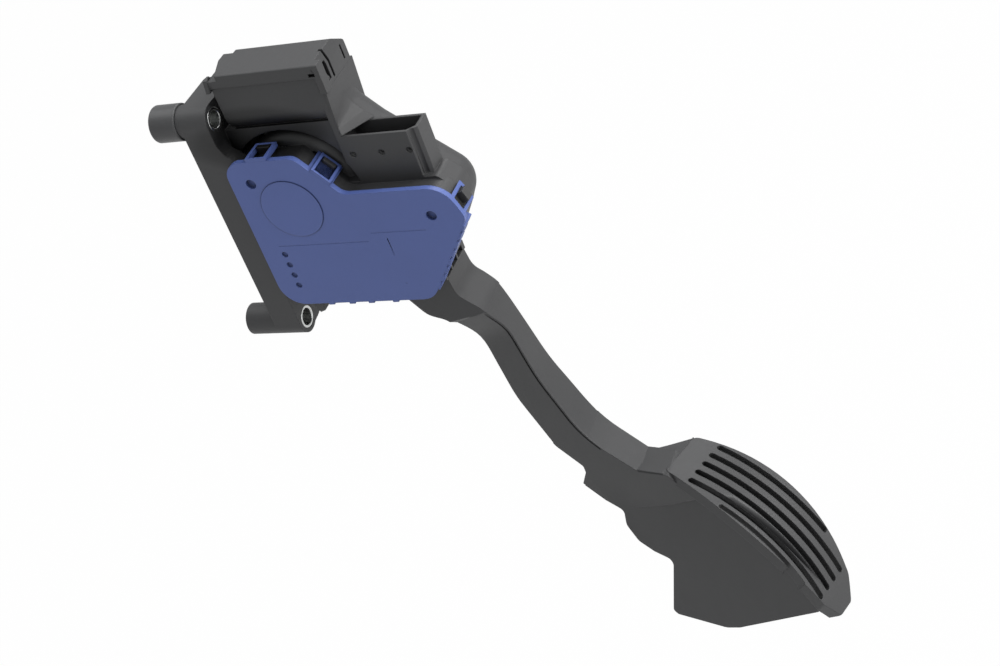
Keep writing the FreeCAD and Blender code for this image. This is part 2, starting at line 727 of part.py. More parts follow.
def build_board():
    body = new_body("sensor_circuit_board")
    edge = dim.cover_overhang + dim.bay_wall + 0.8
    half_pin = dim.pin_size / 2
    pad(body, "board_plate", "side", board_under, board_top, [inset(COVER, edge)])
    pocket(body, "board_pin_holes", "side", board_under, board_top, [
        rectangle(pin_x(n) - half_pin, dim.pin_turn_z - half_pin, pin_x(n) + half_pin,
                  dim.pin_turn_z + half_pin) for n in range(6)])
    return body


def build_chips():
    body = new_body("position_sensor_chips")
    x, z = dim.pivot_x, dim.pivot_z
    reach = dim.rotor_radius + 1.2
    loops = [rectangle(x + reach, z - 2.5, x + reach + 4, z + 2.5),
             rectangle(x - 2.5, z - reach - 4, x + 2.5, z - reach)]
    pad(body, "chip_blocks", "side", board_top, board_top + dim.chip_thickness, loops)
    return body


def build_pins():
    body = new_body("connector_pins")
    half_pin = dim.pin_size / 2
    pad(body, "pin_blades", "top", dim.pin_turn_z - half_pin, dim.pin_top, [
        rectangle(pin_x(n) - half_pin, dim.pin_y - half_pin, pin_x(n) + half_pin,
                  dim.pin_y + half_pin) for n in range(6)])
    pad(body, "pin_tails", "side", board_under, dim.pin_y - half_pin, [
        rectangle(pin_x(n) - half_pin, dim.pin_turn_z - half_pin, pin_x(n) + half_pin,
                  dim.pin_turn_z + half_pin) for n in range(6)])
    return body


def build_rotor():
    body = new_body("sensor_rotor")
    x, z = dim.pivot_x, dim.pivot_z
    near = -dim.rotor_clearance - dim.rotor_thickness
    pad(body, "rotor_disc", "side", near, -dim.rotor_clearance,
        [Circle(x, z, dim.rotor_radius), Circle(x, z, dim.shaft_diameter / 2)])
    pocket(body, "magnet_seat", "side", near, near + 1.2,
           [Circle(x, z, dim.rotor_radius - 1.2), Circle(x, z, dim.rotor_radius - 4.2)])
    return body


def build_magnet():
    body = new_body("rotor_magnet")
    x, z = dim.pivot_x, dim.pivot_z
    near = -dim.rotor_clearance - dim.rotor_thickness
    pad(body, "magnet_ring", "side", near, near + 1.2,
        [Circle(x, z, dim.rotor_radius - 1.2), Circle(x, z, dim.rotor_radius - 4.2)])
    return body


# Spring drive

def build_seat():
    body = new_body("spring_seat")
    near = chamber_near_wall + dim.seat_side_gap
    far = lid_far_inner - 0.3 - dim.seat_side_gap
    low = chamber_floor + dim.seat_side_gap
    high = dim.chamber_top - dim.lid_slope_drop
    step = shoe_top
    far_low = chamber_far_wall - dim.seat_side_gap
    pad(body, "seat_plate_block", "front", seat_face, seat_back,
        [[(near, low, 5.5), (far_low, low, 5.5), (far_low, step), (far, step),
          (far, high, 2), (near, high, 2)]])
    slot = dim.lever_width / 2 + 0.6
    pocket(body, "seat_fork", "front", seat_face, seat_back,
           [rectangle(mid_y - slot, low - 1, mid_y + slot, dim.spring_z - 3.5)])
    pad(body, "seat_spigot", "front", seat_back, seat_back + 4,
        [Circle(mid_y, dim.spring_z, dim.inner_spring_diameter / 2 - dim.inner_wire - 0.3)])
    return body


def build_shoe(name, wall, inward):
    """A wear pad against one chamber wall; its lower corner clears the round of the floor."""
    body = new_body(name)
    face = wall + inward * dim.running_gap
    back = face + inward * dim.shoe_width
    low = chamber_floor + dim.seat_side_gap * 10
    straight = chamber_floor + dim.chamber_round - dim.chamber_wall
    loop = [(face, straight), (face + inward * 0.7, low), (back, low), (back, shoe_top),
            (face, shoe_top)]
    pad(body, name + "_block", "front", seat_back, seat_back + dim.shoe_length, [loop])
    return body


def build_spring(name, diameter, wire, turns):
    body = new_body(name)
    bind(body, "Placement.Base.y", mid_y)
    bind(body, "Placement.Base.z", dim.spring_z)
    sketch = new_sketch(body, name + "_wire", "top", 0,
                        [rectangle(seat_back, diameter / 2 - wire, seat_back + wire,
                                   diameter / 2)])
    axis = [item for item in body.Origin.OriginFeatures if item.Role == "X_Axis"][0]
    coil = body.newObject("PartDesign::AdditiveHelix", name + "_coil")
    coil.Profile = sketch
    coil.ReferenceAxis = (axis, [""])
    coil.Mode = 1
    bind(coil, "Turns", turns)
    bind(coil, "Pitch", (chamber_end - seat_back - wire) / turns)
    return body


def build_rest_bumper():
    body = new_body("rest_stop_bumper")
    face = dim.lever_nose_x - dim.lever_nose_radius - dim.seat_gap
    pad(body, "rest_pad", "front", chamber_start, face,
        [rectangle(mid_y - 5, dim.spring_z - 5, mid_y + 5, dim.spring_z + 5, 1.5)])
    return body


def build_travel_bumper():
    body = new_body("full_travel_bumper")
    pad(body, "travel_pad", "front", dim.cavity_left, dim.cavity_left + dim.travel_bumper,
        [rectangle(mid_y - 6, -dim.body_bottom + 4, mid_y + 6, -dim.body_bottom + 15, 1.5)])
    return body


# Pedal arm

def yawed_body(name, pitch):
    """A body turned with the pad about Z, then tipped up about its own Y axis."""
    body = new_body(name)
    body.setExpression("Placement", "placement(vector(0; 0; 0); rotation(0 - Dims.pad_yaw; %s; 0))"
                       % (-as_size(pitch)).text)
    return body


def build_arm():
    arm = new_body("arm_beam")
    root_near = cavity_near + dim.arm_root_gap
    root_far = cavity_far - dim.arm_root_gap
    pad(arm, "arm_profile", "side", -14, dim.body_width + 4, [[
        (58, 21, 6), (94, -22, 6), (dim.foot_x - 4.2, -dim.body_bottom - 0.9),
        (dim.foot_x + 0.8, -dim.body_bottom - 0.9, 0.5), (98.1, -44.6, 8), (107.6, -52.8, 10),
        (117.4, -95, 50), (130.6, -125.4, 35), (153, -139), (167, -137.3), (178, -148),
        (165, -155), (137, -166), (130, -162), (120.5, -155), (124.2, -147.3, 2),
        (124, -143.6, 2), (112.5, -134.2, 8), (101.1, -108.4, 25), (96.7, -84.2, 30),
        (91.6, -58.3, 9), (81.2, -54.3, 9), (73, -42.2, 8), (61, -35), (42, 4)]])
    pocket(arm, "root_sides", "front", 0, 300, [
        rectangle(-40, -75, root_near, 80), rectangle(root_far, -50, 60, 80)])
    swing_room = Circle(dim.pivot_x, dim.pivot_z, dim.bearing_boss + dim.arm_root_gap)
    pocket(arm, "near_bearing_relief", "side", root_near, hub_near, [swing_room])
    pocket(arm, "far_bearing_relief", "side", hub_far, root_far, [swing_room])
    near_trim = yawed_body("near_trim", dim.arm_step_pitch)
    far_trim = yawed_body("far_trim", 0)
    near = dim.arm_near_w
    far = dim.arm_far_w
    pad(near_trim, "near_trim_form", "front", -100, 260, [[
        (-60, -88), (near - 16, -88, 4), (near - 9, -93.8, 8), (near, -107.7, 12), (near, -330),
        (-60, -330)]])
    pad(far_trim, "far_trim_form", "front", 0, 260, [[
        (far - 2.5, -45), (far, -68, 30), (far + dim.arm_bulge, -118, 60), (far + 2.0, -142),
        (far + 2.0, -190), (far + 60, -190), (far + 60, -45)]])
    trims = doc.addObject("Part::MultiFuse", "arm_trims")
    trims.Shapes = [near_trim, far_trim]
    beam = doc.addObject("Part::Cut", "trimmed_beam")
    beam.Base = arm
    beam.Tool = trims

    hub = new_body("arm_hub")
    pad(hub, "hub_barrel", "side", hub_near, hub_far,
        [Circle(dim.pivot_x, dim.pivot_z, dim.hub_radius)])
    nose = (dim.lever_nose_x, dim.spring_z)
    pivot = (dim.pivot_x, dim.pivot_z)
    foot = beside(pivot, nose, -4, 0)
    top = beside(pivot, nose, 45.5, 0)
    lever_near = mid_y - dim.lever_width / 2
    lever_far = mid_y + dim.lever_width / 2
    pad(hub, "lever_blade", "side", lever_near, lever_far, [[
        beside(foot, nose, 0, 8), beside(foot, nose, 0, -8),
        beside(top, pivot, 0, 2.8), beside(top, pivot, 0, -2.8)]])
    pad(hub, "lever_nose", "side", lever_near, lever_far,
        [Circle(nose[0], nose[1], dim.lever_nose_radius)])
    pad_form = build_pad()
    arm_whole = doc.addObject("Part::MultiFuse", "arm_without_bore")
    arm_whole.Shapes = [beam, hub, pad_form]
    bore = doc.addObject("Part::Cylinder", "shaft_bore")
    bind(bore, "Radius", dim.shaft_diameter / 2)
    bind(bore, "Height", dim.body_width)
    bore.Placement.Rotation = FreeCAD.Rotation(FreeCAD.Vector(1, 0, 0), -90)
    bind(bore, "Placement.Base.x", dim.pivot_x)
    bind(bore, "Placement.Base.z", dim.pivot_z)
    result = doc.addObject("Part::Cut", "pedal_arm")
    result.Base = arm_whole
    result.Tool = bore
    return result


def turned_sketch(body, name, angle, loops):
    """A sketch whose normal leans back from the body's X axis by an angle about its Y axis."""
    sketch = new_sketch(body, name, "top", 0, loops)
    sketch.AttachmentOffset = FreeCAD.Placement(
        FreeCAD.Vector(), FreeCAD.Rotation(FreeCAD.Vector(0, 1, 0), angle.value))
    bind(sketch, "AttachmentOffset.Rotation.Angle", angle)
    return sketch


def build_pad():
    body = new_body("foot_pad_form")
    place = "vector(Dims.pad_x * 1 mm; Dims.pad_y * 1 mm; Dims.pad_z * 1 mm)"
    body.setExpression(
        "Placement", "placement(%s; rotation(0 - Dims.pad_yaw; 0; 0 - Dims.pad_roll))" % place)
    # curved plate: a bar swept round the body's own Y axis
    middle = (dim.pad_bottom_angle + dim.pad_top_angle) / 2
    plate = body.newObject("PartDesign::Revolution", "pad_plate")
    sketch = new_sketch(body, "pad_plate", "top", 0, [
        rectangle(dim.pad_radius - dim.pad_thickness, -dim.pad_near - 2, dim.pad_radius,
                  dim.pad_far + 2)])
    sketch.AttachmentOffset = FreeCAD.Placement(
        FreeCAD.Vector(), FreeCAD.Rotation(FreeCAD.Vector(0, -1, 0), middle.value))
    bind(sketch, "AttachmentOffset.Rotation.Angle", middle)
    plate.Profile = sketch
    plate.ReferenceAxis = (sketch, ["V_Axis"])
    plate.Midplane = True
    bind(plate, "Angle", dim.pad_top_angle - dim.pad_bottom_angle)
    across = 90 - dim.pad_plan_angle
    plan = [
        (-46, -dim.pad_near + 6.1, 3), (-2, -dim.pad_near - 5.6, 140),
        (38.8, -dim.pad_near + 5.5, 4), (48.0, -6, 2), (48.4, 3.2, 3),
        (39.5, dim.pad_far - 5.8, 6), (-4, dim.pad_far + 4.3, 170), (-46, dim.pad_far - 2.9, 3)]
    frame = rectangle(-120, -60, 120, 60)
    half = dim.slot_length / 2
    slot = dim.slot_width / 2
    slots = [rectangle(-half, w - slot, half, w + slot, slot * 0.95)
             for w in (dim.slot_pitch, dim.slot_pitch * 0, -dim.slot_pitch, -dim.slot_pitch * 2)]
    slots.append(rectangle(-half + 0.5, dim.slot_pitch * 2 - slot, half - 15.5,
                           dim.slot_pitch * 2 + slot, slot * 0.95))
    slots.append(rectangle(-half + 16, -dim.slot_pitch * 2.75 - slot * 0.8, half - 9.5,
                           -dim.slot_pitch * 2.75 + slot * 0.8, slot * 0.75))
    for name, loops in (("plan_trim", [frame, plan]), ("pad_slots", slots)):
        cut = body.newObject("PartDesign::Pocket", name)
        cut.Profile = turned_sketch(body, name, across, loops)
        cut.Reversed = True
        bind(cut, "Length", dim.pad_radius + 20)
    web_near = -dim.web_near
    plate_middle = dim.pad_radius - dim.pad_thickness / 2
    pad(body, "web_plate", "side", web_near, web_near + dim.web_thickness, [[
        (-35, 60.8), (-25.4, 54.9, 3), (-16.6, 51.4, 3), (-17.1, 43.2, 5), (-12.4, 35.4, 5),
        (-5.2, 31.5), (2.9, 29.3, 3), (3.6, 26.4, 2), (-2.1, -1.8, 2), (0.1, -3.5, 2),
        (24.9, -3.4, 8), (31.8, -1.1, 6), (plate_middle - 6.9, 21), (plate_middle - 5, 22.8),
        (plate_middle - 19.2, plate_middle - 10.2, plate_middle - 5.4),
        (12.2, plate_middle - 2.4)]])
    pad(body, "top_block", "side", -14.5, dim.pad_far - 2.9, [[
        (-4, plate_middle - 0.2), (11.0, plate_middle + 1.2), (12.4, plate_middle - 3.4),
        (8, 62), (-4, 66)]])
    pocket(body, "top_block_flare", "top", 55, 84, [[
        (-6, 0), (-4, 0.2), (3, 5.2), (10.6, dim.pad_far - 3.8), (10.6, dim.pad_far + 4),
        (-6, dim.pad_far + 4)]])
    pocket(body, "top_block_side", "front", -6, 13, [[
        (-20, 60), (-11.9, 60), (-14.3, 82), (-20, 82)]])
    return body


def build_shaft():
    body = new_body("pivot_shaft")
    near = -dim.rotor_clearance - dim.rotor_thickness
    pad(body, "shaft_rod", "side", near, dim.body_width - 0.5,
        [Circle(dim.pivot_x, dim.pivot_z, dim.shaft_diameter / 2)])
    return body


# Assembly

def build_all():
    boss_face = cavity_near + dim.bearing_boss_height
    far_face = cavity_far - dim.bearing_boss_height
    return [
        build_housing(),
        build_lid(),
        build_cover(),
        build_seal(),
        build_ring("upper_mount_sleeve", "front", 0, dim.flange_front, 0, half_spacing,
                   dim.sleeve_outer, dim.sleeve_bore),
        build_ring("lower_mount_sleeve", "front", 0, dim.flange_front, 0, -half_spacing,
                   dim.sleeve_outer, dim.sleeve_bore),
        build_ring("upper_mount_spacer", "front", 0, dim.spacer_length, 0, half_spacing,
                   dim.spacer_outer, dim.sleeve_outer),
        build_bush("near_pivot_bush", 0, boss_face, boss_face,
                   boss_face + dim.bush_flange_thickness),
        build_bush("far_pivot_bush", far_face, dim.body_width,
                   far_face - dim.bush_flange_thickness, far_face),
        build_cap(),
        build_board(),
        build_chips(),
        build_pins(),
        build_rotor(),
        build_magnet(),
        build_seat(),
        build_shoe("near_friction_shoe", chamber_near_wall, 1),
        build_shoe("far_friction_shoe", chamber_far_wall, -1),
        build_spring("outer_return_spring", dim.outer_spring_diameter, dim.outer_wire,
                     dim.outer_turns),
        build_spring("inner_return_spring", dim.inner_spring_diameter, dim.inner_wire,
                     dim.inner_turns),
        build_rest_bumper(),
        build_travel_bumper(),
        build_arm(),
        build_shaft(),
    ]


nodes = build_all()
doc.recompute()

for item in doc.Objects:
    if "Invalid" in item.State or "Error" in item.State:
        raise RuntimeError("%s did not rebuild: %s" % (item.Name, item.State))

os.makedirs("parts", exist_ok=True)
for node in nodes:
    shape = node.Shape
    if shape.isNull() or not shape.isValid():
        raise RuntimeError("%s has no valid shape" % node.Label)
    shape.exportStep("parts/%s.step" % node.Label)
    print("%-24s solids %d faces %3d volume %9.1f" % (
        node.Label, len(shape.Solids), len(shape.Faces), shape.Volume))
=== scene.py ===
import cmath
import math

import bmesh
import bpy
from mathutils import Matrix, Vector


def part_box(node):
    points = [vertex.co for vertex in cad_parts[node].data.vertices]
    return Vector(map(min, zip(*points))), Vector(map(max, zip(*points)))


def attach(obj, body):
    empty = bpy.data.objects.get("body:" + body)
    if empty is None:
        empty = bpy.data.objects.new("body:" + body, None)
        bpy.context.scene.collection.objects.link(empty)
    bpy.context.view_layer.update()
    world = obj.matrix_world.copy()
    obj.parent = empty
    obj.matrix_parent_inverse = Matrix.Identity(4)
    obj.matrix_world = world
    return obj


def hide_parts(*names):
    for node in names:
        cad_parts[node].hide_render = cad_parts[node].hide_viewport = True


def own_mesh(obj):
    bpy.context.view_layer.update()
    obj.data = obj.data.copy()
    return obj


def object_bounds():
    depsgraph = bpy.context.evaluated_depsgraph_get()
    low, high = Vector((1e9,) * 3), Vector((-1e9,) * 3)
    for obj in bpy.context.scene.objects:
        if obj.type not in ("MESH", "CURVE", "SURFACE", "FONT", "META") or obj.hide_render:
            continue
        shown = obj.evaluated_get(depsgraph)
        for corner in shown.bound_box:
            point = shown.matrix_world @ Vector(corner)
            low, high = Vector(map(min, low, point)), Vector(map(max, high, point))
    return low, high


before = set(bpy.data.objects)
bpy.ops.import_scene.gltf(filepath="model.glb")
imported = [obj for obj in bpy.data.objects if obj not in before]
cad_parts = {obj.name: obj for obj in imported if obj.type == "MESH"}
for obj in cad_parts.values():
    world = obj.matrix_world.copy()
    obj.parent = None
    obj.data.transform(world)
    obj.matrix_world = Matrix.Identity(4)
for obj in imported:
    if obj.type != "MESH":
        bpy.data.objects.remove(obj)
cad_low, cad_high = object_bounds()


# Camera and studio. The pedal hangs in front of a seamless white sweep, seen from the sensor side,
# above the driver's foot. Large soft lamps stand overhead and at the driver's side, and weaker ones
# lift the sensor side.

camera_data = bpy.data.cameras.new("camera")
camera_data.sensor_width = 36
camera_data.lens = 60.69
camera = bpy.data.objects.new("camera", camera_data)
bpy.context.scene.collection.objects.link(camera)
to_right = Vector((0.904855, 0.308578, -0.293287))
to_top = Vector((0.026750, 0.646346, 0.762575))
to_viewer = Vector((0.424879, -0.697866, 0.576595))
camera.matrix_world = Matrix.Translation((0.40326, -0.47733, 0.33212)) @ Matrix(
    (to_right, to_top, to_viewer)).transposed().to_4x4()
bpy.context.scene.camera = camera
bpy.context.scene.view_settings.view_transform = "Standard"


class Field:
    """A value inside a node tree. Sums and products of fields add their own Math nodes."""

    def __init__(self, tree, socket=None):
        self.tree = tree
        self.socket = socket

    def add(self, kind, settings=None, values=None, output=0):
        """One node of any kind, with its settings, then the values or fields of its sockets."""
        node = self.tree.nodes.new(kind)
        for name, value in (settings or {}).items():
            if name == "stops":
                ramp = node.color_ramp.elements
                for number, (position, grey) in enumerate(value):
                    stop = ramp[number] if number < 2 else ramp.new(position)
                    stop.position = position
                    stop.color = (grey, grey, grey, 1)
            else:
                setattr(node, name, value)
        for name, value in (values or {}).items():
            if isinstance(value, Field):
                self.tree.links.new(value.socket, node.inputs[name])
            else:
                node.inputs[name].default_value = value
        return Field(self.tree, node.outputs[output])

    def maths(self, operation, *others):
        values = dict(enumerate((self,) + others))
        return self.add("ShaderNodeMath", {"operation": operation}, values)

    def __add__(self, other):
        return self.maths("ADD", other)

    def __radd__(self, other):
        return self.maths("ADD", other)

    def __sub__(self, other):
        return self.maths("SUBTRACT", other)

    def __rsub__(self, other):
        return self.maths("MULTIPLY", -1.0).maths("ADD", other)

    def __mul__(self, other):
        return self.maths("MULTIPLY", other)

    def __rmul__(self, other):
        return self.maths("MULTIPLY", other)

    def __truediv__(self, other):
        return self.maths("DIVIDE", other)

    def noise(self, scale, detail=2.0, roughness=0.5):
        """Noise at these coordinates. The scale is its number of spots per metre."""
        return self.add("ShaderNodeTexNoise", None, {
            "Vector": self, "Scale": scale, "Detail": detail, "Roughness": roughness})

    def stretched(self, x, y, z):
        return self.add("ShaderNodeMapping", None, {"Vector": self, "Scale": (x, y, z)})

    def ramp(self, *stops):
        return self.add("ShaderNodeValToRGB", {"stops": stops}, {"Fac": self})

    def into(self, shader, name):
        self.tree.links.new(self.socket, shader.inputs[name])


def white_sweep():
    """White to the camera and in reflections, with a trace of the object's shadow on it."""
    material = bpy.data.materials.new("studio_white")
    material.use_nodes = True
    tree = material.node_tree
    tree.nodes.clear()
    start = Field(tree)
    paper = start.add("ShaderNodeBsdfDiffuse", None, {"Color": (0.45, 0.45, 0.45, 1)})
    glow = start.add("ShaderNodeEmission", None, {"Color": (1, 1, 1, 1), "Strength": 1.0})
    seen = start.add("ShaderNodeLightPath", output="Is Camera Ray")
    mirrored = start.add("ShaderNodeLightPath", output="Is Glossy Ray")
    share = seen.maths("MAXIMUM", mirrored * 0.5) * 0.985
    both = start.add("ShaderNodeMixShader", None, {0: share, 1: paper, 2: glow})
    end = tree.nodes.new("ShaderNodeOutputMaterial")
    tree.links.new(both.socket, end.inputs["Surface"])
    return material


FLOOR_DROP = 0.12
floor_z = cad_low.z - FLOOR_DROP
floor_mesh = bpy.data.meshes.new("studio_floor")
floor_mesh.from_pydata(
    [(-6, -6, floor_z), (6, -6, floor_z), (6, 6, floor_z), (-6, 6, floor_z)], [], [(0, 1, 2, 3)])
floor_mesh.materials.append(white_sweep())
floor = bpy.data.objects.new("studio_floor", floor_mesh)
bpy.context.scene.collection.objects.link(floor)

world = bpy.data.worlds.new("studio_world")
world.use_nodes = True
bpy.context.scene.world = world
world.node_tree.nodes.clear()
air = Field(world.node_tree)
air_seen = air.add("ShaderNodeLightPath", output="Is Camera Ray")
air_height = air.add("ShaderNodeSeparateXYZ", None, {
    "Vector": air.add("ShaderNodeTexCoord", output="Generated")}, output="Z")
air_strength = (0.5 + 0.5 * air_height).ramp((0, 0.10), (0.5, 0.42), (1, 0.8))
air_light = air.add("ShaderNodeBackground", None, {
    "Color": (0.97, 0.985, 1, 1), "Strength": air_strength})
air_white = air.add("ShaderNodeBackground", None, {"Color": (1, 1, 1, 1), "Strength": 1.0})
air_both = air.add("ShaderNodeMixShader", None, {0: air_seen, 1: air_light, 2: air_white})
air_end = world.node_tree.nodes.new("ShaderNodeOutputWorld")
world.node_tree.links.new(air_both.socket, air_end.inputs["Surface"])

LAMPS = [
    ("lamp_behind", (0.1, 0.9, 1.0), 0.9, 7.0),
    ("lamp_left", (-0.7, 0.1, 1.1), 0.9, 3.0),
    ("lamp_driver", (1.1, 0.2, 0.8), 0.8, 14.5),
    ("lamp_driver_level", (1.3, 0.1, 0.1), 0.8, 3.6),
    ("lamp_sensor_side", (-0.1, -1.3, 0.2), 0.9, 1.2),
]
for lamp_name, lamp_place, lamp_width, lamp_power in LAMPS:
    lamp_data = bpy.data.lights.new(lamp_name, "AREA")
    lamp_data.size = lamp_width
    lamp_data.energy = lamp_power
    lamp = bpy.data.objects.new(lamp_name, lamp_data)
    bpy.context.scene.collection.objects.link(lamp)
    aim = Vector((0.08, 0, -0.05)) - Vector(lamp_place)
    lamp.matrix_world = Matrix.Translation(lamp_place) @ aim.to_track_quat("-Z", "Y").to_matrix().to_4x4()


# Housing. One moulding in black glass-filled nylon: flange, bosses, pivot barrel, spring chamber,
# connector shroud and sensor bay. Its faces carry the mould's spark-eroded grain, and its edges
# the small rounds that a mould always leaves.

def surface(name, **plain):
    """A material with the given plain values on its shader, and a field to build on."""
    material = bpy.data.materials.new(name)
    material.use_nodes = True
    shader = material.node_tree.nodes["Principled BSDF"]
    for socket, value in plain.items():
        shader.inputs[socket.replace("_", " ")].default_value = value
    start = Field(material.node_tree)
    return material, shader, start


def moulded_black(name, tone, roughness, flow, shaded_recess=None):
    """Glass-filled nylon: fine grain, faint flow streaks along one way and edges rubbed paler, with
    painted shade in its corners. A recess, given by its middle and its reach, gets painted shade that
    darkens towards its middle."""
    material, shader, start = surface(name, IOR=1.5)
    place = start.add("ShaderNodeTexCoord", output="Object")
    cloud = place.noise(38, 3)
    streak = place.stretched(*flow).noise(1, 3, 0.6)
    grain = place.noise(2600, 2, 0.6)
    rounded = start.add("ShaderNodeBevel", {"samples": 4}, {"Radius": 0.0006})
    facing = start.add("ShaderNodeNewGeometry", output="Normal")
    turned = start.add("ShaderNodeVectorMath", {"operation": "DOT_PRODUCT"},
                       {0: rounded, 1: facing}, output="Value")
    rubbed = (1 - turned).ramp((0.02, 0), (0.22, 1)) * place.noise(240, 3).maths("POWER", 2)
    # Painted shade: ambient occlusion darkens the colour in corners, slots and pockets, where less light
    # reaches.
    painted_crevice_shade = start.add("ShaderNodeAmbientOcclusion", {"samples": 6}, {"Distance": 0.03},
                         output="AO").ramp((0.2, 0.62), (0.75, 1))
    shade = (tone * (0.84 + 0.2 * cloud + 0.12 * streak) + rubbed * 0.02) * painted_crevice_shade
    # Painted shade: inside the given recess the colour darkens towards its middle, standing in for the
    # shade under the chamber.
    if shaded_recess:
        middle, reach = shaded_recess
        away = start.add("ShaderNodeVectorMath", {"operation": "SUBTRACT"}, {0: place, 1: middle})
        away = start.add("ShaderNodeVectorMath", {"operation": "DIVIDE"}, {0: away, 1: reach})
        away = start.add("ShaderNodeVectorMath", {"operation": "LENGTH"}, {0: away},
                         output="Value")
        shade = shade * (away + 0.12 * (cloud - 0.5)).ramp((0.55, 0.1), (0.8, 0.4), (1.0, 1))
    colour = start.add("ShaderNodeCombineColor", None,
                       {"Red": shade, "Green": shade, "Blue": shade * 1.03})
    colour.into(shader, "Base Color")
    (roughness + 0.1 * (grain - 0.5) + 0.12 * (streak - 0.5)).into(shader, "Roughness")
    start.add("ShaderNodeBump", None, {
        "Strength": 0.5, "Distance": 0.00005, "Height": grain + 0.3 * streak, "Normal": rounded}
    ).into(shader, "Normal")
    return material


def merged(node):
    """A copy of a CAD node's triangles with their common corners joined."""
    shape = bmesh.new()
    shape.from_mesh(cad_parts[node].data)
    bmesh.ops.remove_doubles(shape, verts=shape.verts, dist=0.000002)
    return shape


MM = 0.001


def rounded(corners):
    """An outline's points. A corner's third value, where it has one, is its round's radius."""
    outline = []
    for number, corner in enumerate(corners):
        here = complex(*corner[:2])
        if len(corner) == 2:
            outline.append(here)
            continue
        back = complex(*corners[number - 1][:2]) - here
        on = complex(*corners[(number + 1) % len(corners)][:2]) - here
        back, on = back / abs(back), on / abs(on)
        half = abs(cmath.phase(on / back)) / 2
        centre = here + (back + on) / abs(back + on) * corner[2] / math.sin(half)
        start = here + back * corner[2] / math.tan(half) - centre
        end = here + on * corner[2] / math.tan(half) - centre
        turn = cmath.phase(end / start)
        steps = max(2, round(abs(math.degrees(turn)) / 10))
        outline += [centre + start * cmath.exp(1j * turn * n / steps) for n in range(steps + 1)]
    return [(point.real, point.imag) for point in outline]


def joined(rings):
    """A closed form between rings of equally many places in millimetres."""
    shape = bmesh.new()
    rows = [[shape.verts.new(Vector(place) * MM) for place in ring] for ring in rings]
    shape.faces.new(rows[0])
    shape.faces.new(reversed(rows[-1]))
    for row, after in zip(rows, rows[1:]):
        for number in range(len(row)):
            shape.faces.new((row[number - 1], row[number], after[number], after[number - 1]))
    bmesh.ops.recalc_face_normals(shape, faces=shape.faces)
    return shape


def prism(facing, start, end, corners):
    """An outline that is drawn in the side, front or top view and pulled from start to end."""
    order = {"side": (0, 2, 1), "front": (2, 0, 1), "top": (0, 1, 2)}[facing]
    return joined([[[(u, v, depth)[order[axis]] for axis in range(3)]
                    for u, v in rounded(corners)] for depth in (start, end)])


def box(low, high):
    return prism("top", low[2], high[2], [low[:2], (high[0], low[1]), high[:2], (low[0], high[1])])


def turned(x, z, profile, steps=64):
    """A round form about an axis along Y. The profile gives radius and Y of each corner."""
    shape = bmesh.new()
    points = [shape.verts.new((radius * MM, y * MM, 0)) for radius, y in rounded(profile)]
    edges = [shape.edges.new(pair) for pair in zip(points, points[1:])]
    bmesh.ops.spin(shape, geom=points + edges, cent=(0, 0, 0), axis=(0, 1, 0),
                   angle=2 * math.pi, steps=steps, use_merge=True)
    bmesh.ops.remove_doubles(shape, verts=shape.verts, dist=0.000002)
    bmesh.ops.translate(shape, verts=shape.verts, vec=(x * MM, 0, z * MM))
    bmesh.ops.recalc_face_normals(shape, faces=shape.faces)
    return shape


def carved(shape, steps):
    """The shape after forms are added to it (+) or cut from it (-), one after another. A form
    with an = keeps only what is inside it."""
    def as_object(form):
        mesh = bpy.data.meshes.new("carving")
        form.to_mesh(mesh)
        form.free()
        thing = bpy.data.objects.new("carving", mesh)
        bpy.context.scene.collection.objects.link(thing)
        return thing

    things = [as_object(shape)]
    for sign, form in steps:
        things.append(as_object(form))
        step = things[0].modifiers.new("step", "BOOLEAN")
        step.operation = {"+": "UNION", "-": "DIFFERENCE", "=": "INTERSECT"}[sign]
        step.solver = "EXACT"
        step.object = things[-1]
    result = bmesh.new()
    result.from_mesh(things[0].evaluated_get(bpy.context.evaluated_depsgraph_get()).data)
    for thing in things:
        bpy.data.meshes.remove(thing.data)
    return result


def finish_piece(name, shape, material, body, replaced, edge_round=0.0, flat=0.008):
    """Makes the piece from its shape: smooth where it curves, and its edges slightly rounded."""
    bmesh.ops.remove_doubles(shape, verts=shape.verts, dist=0.000002)
    bmesh.ops.dissolve_limit(shape, angle_limit=flat, verts=shape.verts, edges=shape.edges)
    for face in shape.faces:
        face.smooth = True
    for edge in shape.edges:
        edge.smooth = edge.is_manifold and edge.calc_face_angle(0) < math.radians(32)
    mesh = bpy.data.meshes.new(name)
    shape.to_mesh(mesh)
    shape.free()
    mesh.materials.append(material)
    piece = bpy.data.objects.new(name, mesh)
    bpy.context.scene.collection.objects.link(piece)
    if edge_round:
        bevel = piece.modifiers.new("mould_rounds", "BEVEL")
        bevel.width = edge_round
        bevel.segments = 2
        bevel.limit_method = "ANGLE"
        bevel.angle_limit = math.radians(40)
    normals = piece.modifiers.new("even_normals", "WEIGHTED_NORMAL")
    normals.keep_sharp = True
    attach(piece, body)
    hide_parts(*replaced)
    return piece


def paint(node, material):
    """Gives a CAD node that stays as it is its material."""
    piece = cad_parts[node]
    piece.data.materials.clear()
    piece.data.materials.append(material)


